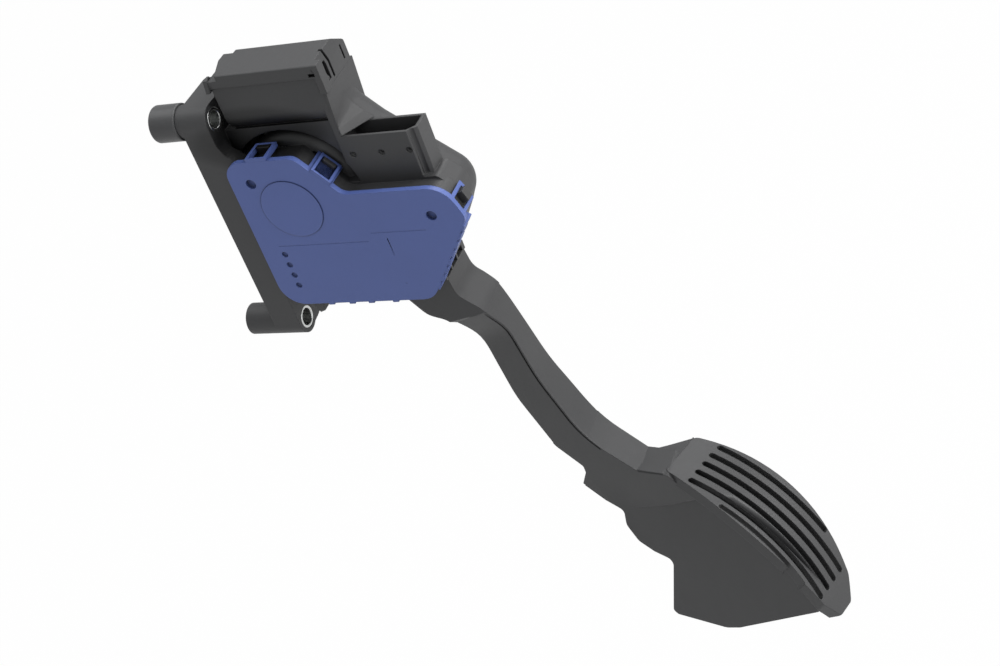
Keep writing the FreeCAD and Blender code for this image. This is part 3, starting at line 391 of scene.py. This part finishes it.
PIVOT_X, PIVOT_Z = 49.7, 11.8
BODY_WIDTH = 26.5
SHELF_Z = 16.0
CHAMBER_RIGHT = 77.8
CHAMBER_TOP = 66.8
LID_END_BOTTOM = CHAMBER_TOP - 10.2
CONNECTOR_TOP = 36.7
FOOT_X, FOOT_Z = 96.0, -34.5
COVER_FACE, COVER_BACK = -9.5, -7.0
COVER_OUTLINE = [(27, -35.9, 10), (95.6, -35.9, 9), (122.6, 2.2, 5), (117.5, 16.7, 11),
                 (74.4, 16.7, 5), (59.2, 34.8, 5), (27, 34.8, 7.5)]
CREST = (COVER_OUTLINE[5], COVER_OUTLINE[6])
HIP = (COVER_OUTLINE[4], COVER_OUTLINE[5])
SLANT = (COVER_OUTLINE[1], COVER_OUTLINE[2])
FLOOR_EDGE = (COVER_OUTLINE[0], COVER_OUTLINE[1])
CLIP_BAR, CLIP_THICKNESS = 1.2, 1.5
COVER_LINES = [((36, -6.1), (77.3, -5.75)), ((80, -2.2), (104, -1.85)),
               ((85.8, -13.3), (86.15, -5.0)), ((86.0, -27.6), (86.7, -26.9))]

# Each loop clip that is drawn again: its edge, its start there, its length and its far end in Y
LOOP_CLIPS = [(CREST, 11.4, 9.4, 1.6), (HIP, 6.2, 9.2, 2.2)]
OLD_CATCHES = [(CREST, 12.0, 22.0, -3.4, 0.1), (HIP, 6.0, 16.0, -3.4, 1.7)]


def strip(edge, start, end, inner, outer):
    """A bar's outline along an edge of the cover, from inside the edge to outside it."""
    first, last = (complex(*corner[:2]) for corner in edge)
    along = (last - first) / abs(last - first)
    out = along * -1j
    return [((first + along * run + out * rise).real, (first + along * run + out * rise).imag)
            for run, rise in ((start, inner), (end, inner), (end, outer), (start, outer))]


def housing_forms():
    """What the mould gives beyond the plain body: the barrel's rounded near end, the leaning end
    plate that runs into the far slope, the lid's catch, the arm's rim and the clips' catches."""
    bay = prism("side", -8, 3.9, [(29, -30), (73.5, -30), (73.5, 14.7), (58.3, 32.8, 3),
                                  (29, 32.8, 5.5)])
    below = box((0, -9, -60), (130, 6, SHELF_Z))
    barrel_room = carved(turned(PIVOT_X, PIVOT_Z, [
        (0, 3.4), (27, 3.4, 6), (27, 9.4), (29, 9.4), (29, -0.5), (0, -0.5)]),
        [("-", bay), ("-", below)])
    steps = [("-", barrel_room)]
    steps.append(("+", prism("side", 0.05, BODY_WIDTH - 0.05, [
        (75.5, CONNECTOR_TOP - 2), (CHAMBER_RIGHT, CONNECTOR_TOP - 1),
        (CHAMBER_RIGHT + 1.4, LID_END_BOTTOM - 0.1), (75.5, LID_END_BOTTOM - 0.1)])))
    flank = [(z, CHAMBER_RIGHT + reach) for z, reach in
             ((CONNECTOR_TOP + 0.2, 9.6), (40.2, 6.2), (44.2, 2.9), (51, 0.7))]
    steps.append(("+", joined([[(77, 0.4, z), (CHAMBER_RIGHT + 0.3, 0.4, z), (x, 12.6, z),
                                (77, 12.6, z)] for z, x in flank])))
    steps.append(("-", box((75, 3.2, LID_END_BOTTOM + 2.4), (78.3, 7.6, CHAMBER_TOP - 1.4))))
    steps.append(("-", box((76.4, 9.2, LID_END_BOTTOM + 1), (78.3, 10.6, CHAMBER_TOP + 1))))
    steps.append(("+", prism("side", 3.5, 6.6, [
        (74, LID_END_BOTTOM + 2.1), (79.1, LID_END_BOTTOM + 2.1), (79.1, LID_END_BOTTOM + 3),
        (76.8, LID_END_BOTTOM + 7), (74, LID_END_BOTTOM + 7)])))
    steps.append(("+", box((FOOT_X - 2, 0, FOOT_Z), (FOOT_X + 2.4, 22, FOOT_Z + 3.9))))
    for near in (1.2, 7.7, 14.2):
        steps.append(("-", box((FOOT_X - 0.6, near, FOOT_Z + 0.6),
                               (FOOT_X + 3, near + 5.5, FOOT_Z + 3.3))))
    for x in (79.9, 92.3, 104.3):
        steps.append(("-", turned(x, CONNECTOR_TOP - 8.3, [
            (0, 1.5), (0.5, 1.2), (1.45, -0.05), (1.45, -0.5), (0, -0.5)], 24)))
    steps.append(("-", prism("top", 16.7, CONNECTOR_TOP + 1, [
        (105.9, -1.2), (109.4, -1.2), (109.4, 0.9, 1.2), (107.65, 2.3, 1.2), (105.9, 0.9, 1.2)])))
    for edge, start, end, near, far in OLD_CATCHES:
        steps.append(("-", prism("side", near, far, strip(edge, start, end, -1.95, 1.8))))
    for edge, start, length, reach in LOOP_CLIPS:
        top = reach - CLIP_BAR - 0.1
        steps.append(("+", prism("side", top - 2, top, strip(
            edge, start + CLIP_BAR + 0.6, start + length - CLIP_BAR - 0.6, -2.4,
            CLIP_THICKNESS))))
    return steps


# The last argument places the painted shade of the recess under the spring chamber.
housing_nylon = moulded_black("black_nylon_housing", 0.042, 0.5, (90, 90, 900),
                              ((0.042, 0.006, 0.041), (0.034, 0.03, 0.014)))
finish_piece("housing_moulding", carved(merged("pedal_housing"), housing_forms()), housing_nylon,
             "housing", ["pedal_housing"], 0.0003)


# Spring chamber lid. A separate cap in the same black nylon that slides over the chamber and snaps
# on with end clips, after the springs have gone in. It is a smoother moulding than the housing.

LID_TOP = CHAMBER_TOP + 2.4
LID_NEAR, LID_FAR = -1.5, 24.8
LID_END = CHAMBER_RIGHT + 1.5


def lid_forms():
    """The lid's right end: a thin plate with a strap at its near side, a window over the catch,
    two slots, and a hole through the lip."""
    end_start = CHAMBER_RIGHT + 0.1
    return [
        ("-", box((end_start, -4, 50), (90, 30, 75))),
        ("+", box((76.6, 7, CHAMBER_TOP + 0.3), (end_start + 0.3, 9.1, LID_TOP - 0.02))),
        ("+", box((72.6, LID_NEAR + 0.02, 64), (75.8, -0.15, 66.4))),
        ("+", prism("front", end_start - 0.05, LID_END, [
            (LID_NEAR, LID_END_BOTTOM), (LID_FAR, LID_END_BOTTOM), (LID_FAR, 65, 2),
            (18, LID_TOP, 2), (LID_NEAR, LID_TOP, 0.8)])),
        ("-", prism("side", -3, 26, [
            (LID_END - 1.3, LID_TOP + 0.01), (LID_END, LID_TOP - 4.6),
            (LID_END + 1, LID_TOP - 4.6), (LID_END + 1, LID_TOP + 1),
            (LID_END - 1.3, LID_TOP + 1)])),
        ("+", prism("front", end_start - 0.04, end_start + 2.8, [
            (LID_NEAR, LID_END_BOTTOM, 0.6), (3.2, LID_END_BOTTOM, 0.6), (3.2, LID_TOP, 0.6),
            (LID_NEAR, LID_TOP, 0.8)])),
        ("-", box((76.4, 3.25, LID_END_BOTTOM + 1.9), (82, 7.6, LID_TOP - 3))),
        ("-", box((76.4, 9.2, LID_END_BOTTOM + 1), (82, 10.6, LID_TOP + 1))),
        ("-", box((LID_END - 1, 20.4, LID_END_BOTTOM + 2), (82, 21.5, 64.6))),
        ("-", box((75.8, -3, 64.5), (78.6, -0.1, 65.9))),
    ]


lid_nylon = moulded_black("black_nylon_lid", 0.040, 0.44, (900, 60, 60))
finish_piece("lid_moulding", carved(merged("spring_chamber_lid"), lid_forms()), lid_nylon,
             "housing", ["spring_chamber_lid"], 0.0004)


# Sensor cover. A thin plate in blue unfilled nylon, held by three sprung loops over catches on the
# housing. It is glossier than the black parts, with faint scuffs from handling.

def moulded_blue():
    material, shader, start = surface("blue_nylon", IOR=1.5)
    place = start.add("ShaderNodeTexCoord", output="Object")
    cloud = place.noise(30, 3)
    grain = place.noise(3200, 2, 0.6)
    scuff = place.stretched(260, 60, 2400).noise(1, 4, 0.7)
    # Painted shade: ambient occlusion darkens the blue's colour in tight corners and narrow grooves.
    painted_crevice_shade = start.add("ShaderNodeAmbientOcclusion", {"samples": 6}, {"Distance": 0.004},
                         output="AO").ramp((0.3, 0.35), (0.85, 1))
    shade = (0.9 + 0.14 * cloud + 0.08 * (grain - 0.5)) * painted_crevice_shade
    tint = start.add("ShaderNodeVectorMath", {"operation": "SCALE"},
                     {0: (0.084, 0.126, 0.350), "Scale": shade})
    tint.into(shader, "Base Color")
    (0.42 + 0.16 * (scuff - 0.5) + 0.06 * (grain - 0.5)).into(shader, "Roughness")
    rounded = start.add("ShaderNodeBevel", {"samples": 4}, {"Radius": 0.0005})
    start.add("ShaderNodeBump", None, {
        "Strength": 0.35, "Distance": 0.00004, "Height": grain, "Normal": rounded}
    ).into(shader, "Normal")
    return material


def cover_forms():
    """The cover's edge and face: loops with their windows, fine teeth, a dish with a soft rim,
    two holes and four dimples."""
    steps = [("=", prism("side", -13, 13, COVER_OUTLINE))]
    for edge, start, length, reach in LOOP_CLIPS:
        steps.append(("+", prism("side", COVER_FACE + 0.03, reach, strip(
            edge, start, start + length, -0.6, CLIP_THICKNESS))))
        steps.append(("-", prism("side", COVER_FACE + 1, reach - CLIP_BAR, strip(
            edge, start + CLIP_BAR, start + length - CLIP_BAR, -0.7, CLIP_THICKNESS + 0.5))))
    for edge, width, back, runs in (
            (SLANT, 3.0, -1.5, [6.0 + 4.8 * n for n in range(8)]),
            (FLOOR_EDGE, 2.6, -3.5, (20.0, 29.7, 38.6, 49.8))):
        for run in runs:
            steps.append(("+", prism("side", COVER_FACE + 0.03, back, strip(
                edge, run, run + width, -1.9, 0.8))))
    steps.append(("+", turned(PIVOT_X, PIVOT_Z, [
        (0, -9.48), (13.4, -9.48), (13.4, -8.4), (0, -8.4)], 96)))
    steps.append(("-", turned(PIVOT_X, PIVOT_Z, [
        (0, -8.7), (12.3, -8.7, 0.4), (13.0, -9.5), (13.3, -9.8), (0, -9.8)], 96)))
    for low, high in COVER_LINES:
        steps.append(("+", box((low[0] - 0.4, COVER_FACE + 0.02, low[1] - 0.4),
                               (high[0] + 0.4, COVER_FACE + 0.8, high[1] + 0.4))))
        steps.append(("-", box((low[0], COVER_FACE - 1, low[1]),
                               (high[0], COVER_FACE + 0.08, high[1]))))
    for x, z in ((36.3, 24.6), (108.6, 4.3)):
        steps.append(("+", turned(x, z, [(0, -7.7), (2.4, -7.7), (2.4, -7.05), (0, -7.05)], 32)))
        steps.append(("-", turned(x, z, [(0, -7.8), (2.1, -7.8), (2.1, -9.2), (2.5, -10),
                                         (0, -10)], 32)))
    for number in range(4):
        steps.append(("-", turned(37, -10.2 - 5.25 * number, [
            (0, -8.5), (1.0, -8.5), (1.45, -9.6), (0, -9.6)], 20)))
    return steps


finish_piece("cover_moulding", carved(merged("sensor_cover"), cover_forms()), moulded_blue(),
             "housing", ["sensor_cover"], 0.0004)


# Sensor cover seal, rest stop and full travel bumper. All three are black rubber: a cord pressed
# into the bay's groove, and two blocks glued where the lever and the arm come to rest.

def rubber():
    material, shader, start = surface("black_rubber", Base_Color=(0.018, 0.018, 0.018, 1), IOR=1.45)
    place = start.add("ShaderNodeTexCoord", output="Object")
    bloom = place.noise(420, 4, 0.65)
    (0.72 + 0.2 * (bloom - 0.5)).into(shader, "Roughness")
    start.add("ShaderNodeBump", None, {"Strength": 0.4, "Distance": 0.00006,
                                       "Height": place.noise(5200, 2)}).into(shader, "Normal")
    return material


black_rubber = rubber()
for rubber_node in ("sensor_cover_seal", "rest_stop_bumper", "full_travel_bumper"):
    paint(rubber_node, black_rubber)


# Mount sleeves and spacer. Two zinc-plated steel tubes, cut on a lathe, carry the clamping force of
# the bolts through the flange. A fatter collar of unfilled black nylon stands behind the upper one.

def turned_steel(name, colour, roughness, rings):
    """Metal with the fine rings of a lathe along the X axis and a cloudy plated finish."""
    material, shader, start = surface(name, Metallic=1.0, Base_Color=colour + (1,))
    place = start.add("ShaderNodeTexCoord", output="Object")
    tool = place.stretched(rings, 0.5, 0.5).noise(1, 1, 0.4)
    cloud = place.noise(300, 3)
    (roughness + 0.22 * (cloud - 0.5) + 0.1 * (tool - 0.5)).into(shader, "Roughness")
    start.add("ShaderNodeBump", None, {"Strength": 0.35, "Distance": 0.00003,
                                       "Height": tool}).into(shader, "Normal")
    return material


zinc = turned_steel("zinc_plated_steel", (0.66, 0.67, 0.66), 0.3, 5200)
for sleeve_node, sleeve_name in (("upper_mount_sleeve", "upper_turned_sleeve"),
                                 ("lower_mount_sleeve", "lower_turned_sleeve")):
    finish_piece(sleeve_name, merged(sleeve_node), zinc, "housing",
                 [sleeve_node], 0.0003)
spacer_nylon = moulded_black("black_nylon_spacer", 0.052, 0.36, (700, 90, 90))
finish_piece("spacer_collar", merged("upper_mount_spacer"), spacer_nylon, "housing",
             ["upper_mount_spacer"], 0.0005)


# Pivot bearings. Two sintered bronze bushes stand in the housing walls, a ground steel shaft turns
# in them, and a black plug closes the far one.

def sintered_bronze():
    material, shader, start = surface("sintered_bronze", Metallic=1.0)
    place = start.add("ShaderNodeTexCoord", output="Object")
    pore = place.noise(4200, 3, 0.7)
    start.add("ShaderNodeVectorMath", {"operation": "SCALE"},
              {0: (0.52, 0.34, 0.16), "Scale": 0.75 + 0.4 * pore}).into(shader, "Base Color")
    (0.36 + 0.3 * (pore - 0.5)).into(shader, "Roughness")
    start.add("ShaderNodeBump", None, {"Strength": 0.3, "Distance": 0.00003,
                                       "Height": pore}).into(shader, "Normal")
    return material


bronze = sintered_bronze()
for bush_node in ("near_pivot_bush", "far_pivot_bush"):
    paint(bush_node, bronze)
paint("pivot_shaft", turned_steel("ground_steel", (0.56, 0.56, 0.57), 0.2, 60))
finish_piece("bearing_plug", merged("far_bearing_cap"), lid_nylon, "housing",
             ["far_bearing_cap"], 0.0004)


# Position sensor. A green board on four posts carries two separate sensor chips. The rotor on the
# end of the shaft holds a magnet ring in front of them.

def solder_resist():
    """Green lacquer over copper tracks, which show as slightly paler, slightly raised lines."""
    material, shader, start = surface("green_board", IOR=1.52)
    place = start.add("ShaderNodeTexCoord", output="Object")
    cells = place.add("ShaderNodeTexVoronoi", {"feature": "DISTANCE_TO_EDGE", "distance": "CHEBYCHEV"},
                      {"Vector": place, "Scale": 260}, output="Distance")
    track = cells.maths("LESS_THAN", 0.06)
    start.add("ShaderNodeVectorMath", {"operation": "SCALE"},
              {0: (0.016, 0.13, 0.045), "Scale": 0.8 + 0.7 * track}).into(shader, "Base Color")
    (0.28 + 0.1 * place.noise(900, 2)).into(shader, "Roughness")
    start.add("ShaderNodeBump", None, {"Strength": 0.5, "Distance": 0.00003,
                                       "Height": track}).into(shader, "Normal")
    return material


def mould_compound(name, colour, roughness, grain):
    material, shader, start = surface(name, Base_Color=colour + (1,))
    place = start.add("ShaderNodeTexCoord", output="Object")
    speck = place.noise(grain, 3, 0.6)
    (roughness + 0.2 * (speck - 0.5)).into(shader, "Roughness")
    start.add("ShaderNodeBump", None, {"Strength": 0.3, "Distance": 0.00003,
                                       "Height": speck}).into(shader, "Normal")
    return material


paint("sensor_circuit_board", solder_resist())
paint("position_sensor_chips", mould_compound("chip_compound", (0.02, 0.02, 0.021), 0.55, 3000))
natural_nylon = mould_compound("natural_nylon", (0.62, 0.59, 0.50), 0.45, 900)
paint("sensor_rotor", natural_nylon)
paint("rotor_magnet", mould_compound("sintered_magnet", (0.10, 0.10, 0.105), 0.5, 2400))


# Connector pins. Six tinned brass terminals run from the board through the housing floor and turn
# up into the shroud, where each blade ends in a short taper that leads the plug on.

def new_tree(name, inputs):
    """A node tree with named inputs, and a dictionary of their fields."""
    tree = bpy.data.node_groups.new(name, "GeometryNodeTree")
    for socket_name, kind in inputs:
        tree.interface.new_socket(socket_name, in_out="INPUT", socket_type="NodeSocket" + kind)
    tree.interface.new_socket("Geometry", in_out="OUTPUT", socket_type="NodeSocketGeometry")
    given = tree.nodes.new("NodeGroupInput")
    return tree, {socket_name: Field(tree, given.outputs[socket_name]) for socket_name, _ in inputs}


def end_tree(geometry, finish):
    """The tree's last nodes: real geometry with its material."""
    tree = geometry.tree
    real = geometry.add("GeometryNodeRealizeInstances", None, {"Geometry": geometry})
    done = real.add("GeometryNodeSetMaterial", None, {"Geometry": real, "Material": finish})
    end = tree.nodes.new("NodeGroupOutput")
    tree.links.new(done.socket, end.inputs["Geometry"])


def grown(name, tree, values):
    """A plain mesh object from a tree and the values of its named inputs."""
    source = bpy.data.objects.new(name + "_source", bpy.data.meshes.new(name + "_source"))
    bpy.context.scene.collection.objects.link(source)
    shape = source.modifiers.new("shape", "NODES")
    shape.node_group = tree
    for socket in tree.interface.items_tree:
        if socket.in_out == "INPUT":
            shape[socket.identifier] = values[socket.name]
    evaluated = source.evaluated_get(bpy.context.evaluated_depsgraph_get())
    mesh = bpy.data.meshes.new_from_object(evaluated)
    bpy.data.objects.remove(source)
    piece = bpy.data.objects.new(name, mesh)
    bpy.context.scene.collection.objects.link(piece)
    return piece


def pin_tree():
    """A row of bent pins: a square wire swept along one bent path, copied at a pitch."""
    tree, given = new_tree("bent_pin_row", [
        ("Count", "Int"), ("Pitch", "Float"), ("Width", "Float"), ("Tail", "Vector"),
        ("Bend", "Vector"), ("Tip", "Vector"), ("Bend Radius", "Float"), ("Taper", "Float"),
        ("Tip Share", "Float"), ("Finish", "Material")])
    start = Field(tree)
    number = start.add("GeometryNodeInputIndex")
    path = start.add("GeometryNodeMeshLine", None, {"Count": 3})
    path = start.add("GeometryNodeMeshToCurve", None, {"Mesh": path})
    place = None
    for step, name in enumerate(("Tail", "Bend", "Tip")):
        here = number.maths("COMPARE", float(step), 0.1)
        part = start.add("ShaderNodeVectorMath", {"operation": "SCALE"},
                         {0: given[name], "Scale": here})
        place = part if place is None else start.add(
            "ShaderNodeVectorMath", {"operation": "ADD"}, {0: place, 1: part})
    path = start.add("GeometryNodeSetPosition", None, {"Geometry": path, "Position": place})
    path = start.add("GeometryNodeFilletCurve", {"mode": "POLY"},
                     {"Curve": path, "Count": 6, "Radius": given["Bend Radius"]})
    path = start.add("GeometryNodeResampleCurve", {"mode": "LENGTH"},
                     {"Curve": path, "Length": 0.0004})
    position = start.add("GeometryNodeInputPosition")
    height = start.add("ShaderNodeSeparateXYZ", None, {"Vector": position}, output="Z")
    top = start.add("ShaderNodeSeparateXYZ", None, {"Vector": given["Tip"]}, output="Z")
    into_tip = ((height - top) / given["Taper"] + 1.0).maths("MAXIMUM", 0.0)
    width = 1.0 - into_tip * (1.0 - given["Tip Share"])
    square = start.add("GeometryNodeCurvePrimitiveQuadrilateral", None,
                       {"Width": given["Width"], "Height": given["Width"]})
    pin = start.add("GeometryNodeCurveToMesh", None,
                    {"Curve": path, "Profile Curve": square, "Scale": width, "Fill Caps": True})
    step = start.add("ShaderNodeCombineXYZ", None, {"X": given["Pitch"]})
    row = start.add("GeometryNodeMeshLine", None, {"Count": given["Count"], "Offset": step})
    pins = start.add("GeometryNodeInstanceOnPoints", None, {"Points": row, "Instance": pin})
    end_tree(pins, given["Finish"])
    return tree


def tinned_brass():
    """Dull tin plating with a brushed drag along the blade and a trace of brass at worn spots."""
    material, shader, start = surface("tinned_brass", Metallic=1.0)
    place = start.add("ShaderNodeTexCoord", output="Object")
    drag = place.stretched(9000, 9000, 300).noise(1, 2, 0.5)
    worn = place.noise(900, 3, 0.6).ramp((0.58, 0), (0.72, 1))
    start.add("ShaderNodeMix", {"data_type": "RGBA"}, {
        "Factor": worn * 0.5, 6: (0.70, 0.69, 0.66, 1), 7: (0.75, 0.58, 0.30, 1)}, output=2
    ).into(shader, "Base Color")
    (0.26 + 0.2 * (drag - 0.5)).into(shader, "Roughness")
    start.add("ShaderNodeBump", None, {"Strength": 0.3, "Distance": 0.00002,
                                       "Height": drag}).into(shader, "Normal")
    return material


PIN_WIDTH = 0.0008
pins_low, pins_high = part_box("connector_pins")
pin_x = pins_low.x + PIN_WIDTH / 2
pin_y = pins_high.y - PIN_WIDTH / 2
pin_turn = pins_low.z + PIN_WIDTH / 2
pin_row = grown("connector_pin_row", pin_tree(), {
    "Count": 6, "Pitch": (pins_high.x - pins_low.x - PIN_WIDTH) / 5, "Width": PIN_WIDTH,
    "Tail": (pin_x, pins_low.y, pin_turn), "Bend": (pin_x, pin_y, pin_turn),
    "Tip": (pin_x, pin_y, pins_high.z), "Bend Radius": 0.0007, "Taper": 0.0016,
    "Tip Share": 0.45, "Finish": tinned_brass()})
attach(pin_row, "housing")
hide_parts("connector_pins")


# Spring seat, friction shoes and return springs. A natural nylon slider is pushed by the lever's
# nose, its two tan shoes rub on the chamber walls, and two nested wire coils push it back. The
# coils are cold-wound from round wire, with closed ends that stand square on the chamber wall.

paint("spring_seat", natural_nylon)
shoe_compound = mould_compound("friction_compound", (0.30, 0.20, 0.11), 0.6, 1400)
for shoe_node in ("near_friction_shoe", "far_friction_shoe"):
    paint(shoe_node, shoe_compound)


def coil_tree():
    """A compression spring along X: one round wire whose end turns lie against each other."""
    tree, given = new_tree("closed_end_coil", [
        ("Radius", "Float"), ("Wire", "Float"), ("Turns", "Float"), ("Closed Turns", "Float"),
        ("Length", "Float"), ("Start", "Vector"), ("Finish", "Material")])
    start = Field(tree)
    turns, wire, closed = given["Turns"], given["Wire"], given["Closed Turns"]
    path = start.add("GeometryNodeMeshLine", None, {"Count": turns * 36.0})
    path = start.add("GeometryNodeMeshToCurve", None, {"Mesh": path})
    turned = start.add("GeometryNodeSplineParameter", output="Factor") * turns
    first = turned.maths("MINIMUM", closed)
    last = (turned - turns + closed).maths("MAXIMUM", 0.0)
    pitch = (given["Length"] - wire - 2.0 * wire * closed) / (turns - 2.0 * closed)
    along = wire * 0.5 + wire * (first + last) + pitch * (turned - first - last)
    angle = turned * (2 * math.pi)
    round_place = start.add("ShaderNodeCombineXYZ", None, {
        "X": along, "Y": given["Radius"] * angle.maths("COSINE"),
        "Z": given["Radius"] * angle.maths("SINE")})
    place = start.add("ShaderNodeVectorMath", {"operation": "ADD"},
                      {0: round_place, 1: given["Start"]})
    path = start.add("GeometryNodeSetPosition", None, {"Geometry": path, "Position": place})
    ring = start.add("GeometryNodeCurvePrimitiveCircle", None,
                     {"Resolution": 12, "Radius": wire * 0.5})
    coil = start.add("GeometryNodeCurveToMesh", None,
                     {"Curve": path, "Profile Curve": ring, "Fill Caps": True})
    coil = start.add("GeometryNodeSetShadeSmooth", None, {"Geometry": coil})
    end_tree(coil, given["Finish"])
    return tree


def spring_wire():
    """Drawn and oiled spring steel: dark blue-grey, with die marks along the wire."""
    material, shader, start = surface("oiled_spring_steel", Metallic=1.0)
    place = start.add("ShaderNodeTexCoord", output="Object")
    scale = place.noise(700, 4, 0.6)
    start.add("ShaderNodeVectorMath", {"operation": "SCALE"},
              {0: (0.30, 0.32, 0.36), "Scale": 0.7 + 0.6 * scale}).into(shader, "Base Color")
    (0.3 + 0.24 * (scale - 0.5)).into(shader, "Roughness")
    start.add("ShaderNodeBump", None, {"Strength": 0.3, "Distance": 0.00002,
                                       "Height": place.noise(5200, 2)}).into(shader, "Normal")
    return material


coil_form = coil_tree()
spring_steel = spring_wire()
seat_low, seat_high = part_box("spring_seat")
for coil_name, coil_node, coil_wire, coil_turns in (
        ("outer_coil", "outer_return_spring", 0.0018, 7.0),
        ("inner_coil", "inner_return_spring", 0.0013, 8.5)):
    coil_low, coil_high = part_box(coil_node)
    coil_middle = (coil_low + coil_high) / 2
    coil_piece = grown(coil_name, coil_form, {
        "Radius": (coil_high.z - coil_low.z - coil_wire) / 2, "Wire": coil_wire,
        "Turns": coil_turns, "Closed Turns": 0.9, "Length": coil_high.x - coil_low.x,
        "Start": (coil_low.x, coil_middle.y, coil_middle.z), "Finish": spring_steel})
    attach(coil_piece, "housing")
    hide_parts(coil_node)
    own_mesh(coil_piece)


# Pedal arm. One long moulding in black glass-filled nylon: hub, lever, curved arm, web and the
# curved foot pad with its slots. The melt ran along the arm, so its flow streaks do too.

ARM_WAY = Vector((0.387, 0, -0.922))
ARM_FRONT = Vector((0.922, 0, 0.387))
BEAM_START, BEAM_END, BEAM_STEP = 91.0, 166.0, 3.0
BEAM_ROUND = 0.7
GROOVE_START, GROOVE_END, GROOVE_EDGE, GROOVE_WIDTH = 92.0, 173.0, 0.7, 0.9


def section(shape, run):
    """The arm's four corners on the plane at a run along it: near front, near back, far back and
    far front."""
    slice_shape = shape.copy()
    cut = bmesh.ops.bisect_plane(
        slice_shape, geom=slice_shape.verts[:] + slice_shape.edges[:] + slice_shape.faces[:],
        plane_co=ARM_WAY * run * MM, plane_no=ARM_WAY)["geom_cut"]
    places = [part.co / MM for part in cut if isinstance(part, bmesh.types.BMVert)]
    slice_shape.free()
    corners = []
    for front, side in ((1, -1), (-1, -1), (-1, 1), (1, 1)):
        corners.append(max(places, key=lambda place: front * place.dot(ARM_FRONT) + side * place.y))
    return corners


def eased(chain, rounds):
    """A chain of places with its bends spread out, and without drawing in at its curves."""
    for share in (0.5, -0.52) * rounds:
        middle = [here + ((before + after) / 2 - here) * share
                  for before, here, after in zip(chain, chain[1:], chain[2:])]
        chain = [chain[0]] + middle + [chain[-1]]
    return chain


def beam_ring(corners):
    """One ring of the beam, with its corners rounded."""
    ring = []
    for number, here in enumerate(corners):
        before = (corners[number - 1] - here).normalized()
        after = (corners[(number + 1) % 4] - here).normalized()
        for way in (0.0, 0.25, 0.5, 0.75, 1.0):
            ring.append(here + before * BEAM_ROUND * (1 - way) ** 2 + after * BEAM_ROUND * way ** 2)
    return ring


def crease_groove(whole):
    """A groove along the near side just behind the front edge, deeper further down the arm."""
    count = round((GROOVE_END - GROOVE_START) / BEAM_STEP) + 1
    corners = [section(whole, GROOVE_START + (GROOVE_END - GROOVE_START) * n / (count - 1))
               for n in range(count)]
    front = eased([corner[0] for corner in corners], 14)
    back = eased([corner[1] for corner in corners], 14)
    rings = []
    for number, (edge, behind) in enumerate(zip(front, back)):
        along = (front[min(number + 1, count - 1)] - front[max(number - 1, 0)]).normalized()
        after = (behind - edge).normalized()
        inwards = along.cross(after).normalized()
        inwards *= 1 if inwards.y > 0 else -1
        depth = 0.3 + 0.8 * min(1.0, 2.5 * number / (count - 1))
        rings.append([edge + after * GROOVE_EDGE - inwards, edge + after * GROOVE_EDGE
                      + inwards * depth, edge + after * (GROOVE_EDGE + GROOVE_WIDTH)
                      + inwards * depth, edge + after * (GROOVE_EDGE + GROOVE_WIDTH) - inwards])
    return joined(rings)


def smooth_arm():
    """The arm with its beam drawn as one flowing S between the root and the pad."""
    whole = merged("pedal_arm")
    count = round((BEAM_END - BEAM_START) / BEAM_STEP) + 1
    runs = [BEAM_START + (BEAM_END - BEAM_START) * n / (count - 1) for n in range(count)]
    chains = [eased(list(chain), 14) for chain in zip(*(section(whole, run) for run in runs))]
    rings = [beam_ring(corners) for corners in zip(*chains)]
    ends = []
    for run, side in ((BEAM_START + 0.2, 1), (BEAM_END - 0.2, -1)):
        part = whole.copy()
        bmesh.ops.bisect_plane(part, geom=part.verts[:] + part.edges[:] + part.faces[:],
                               plane_co=ARM_WAY * run * MM, plane_no=ARM_WAY * side,
                               clear_outer=True)
        bmesh.ops.holes_fill(part, edges=[edge for edge in part.edges if edge.is_boundary])
        ends.append(part)
    beam = carved(joined(rings), [("-", crease_groove(whole))])
    foot = carved(ends[1], [("-", crease_groove(whole))])
    whole.free()
    return carved(ends[0], [("+", beam), ("+", foot)])


arm_nylon = moulded_black("black_nylon_arm", 0.034, 0.46, (220, 220, 40))
finish_piece("arm_moulding", smooth_arm(), arm_nylon, "arm",
             ["pedal_arm"], flat=0.0008)
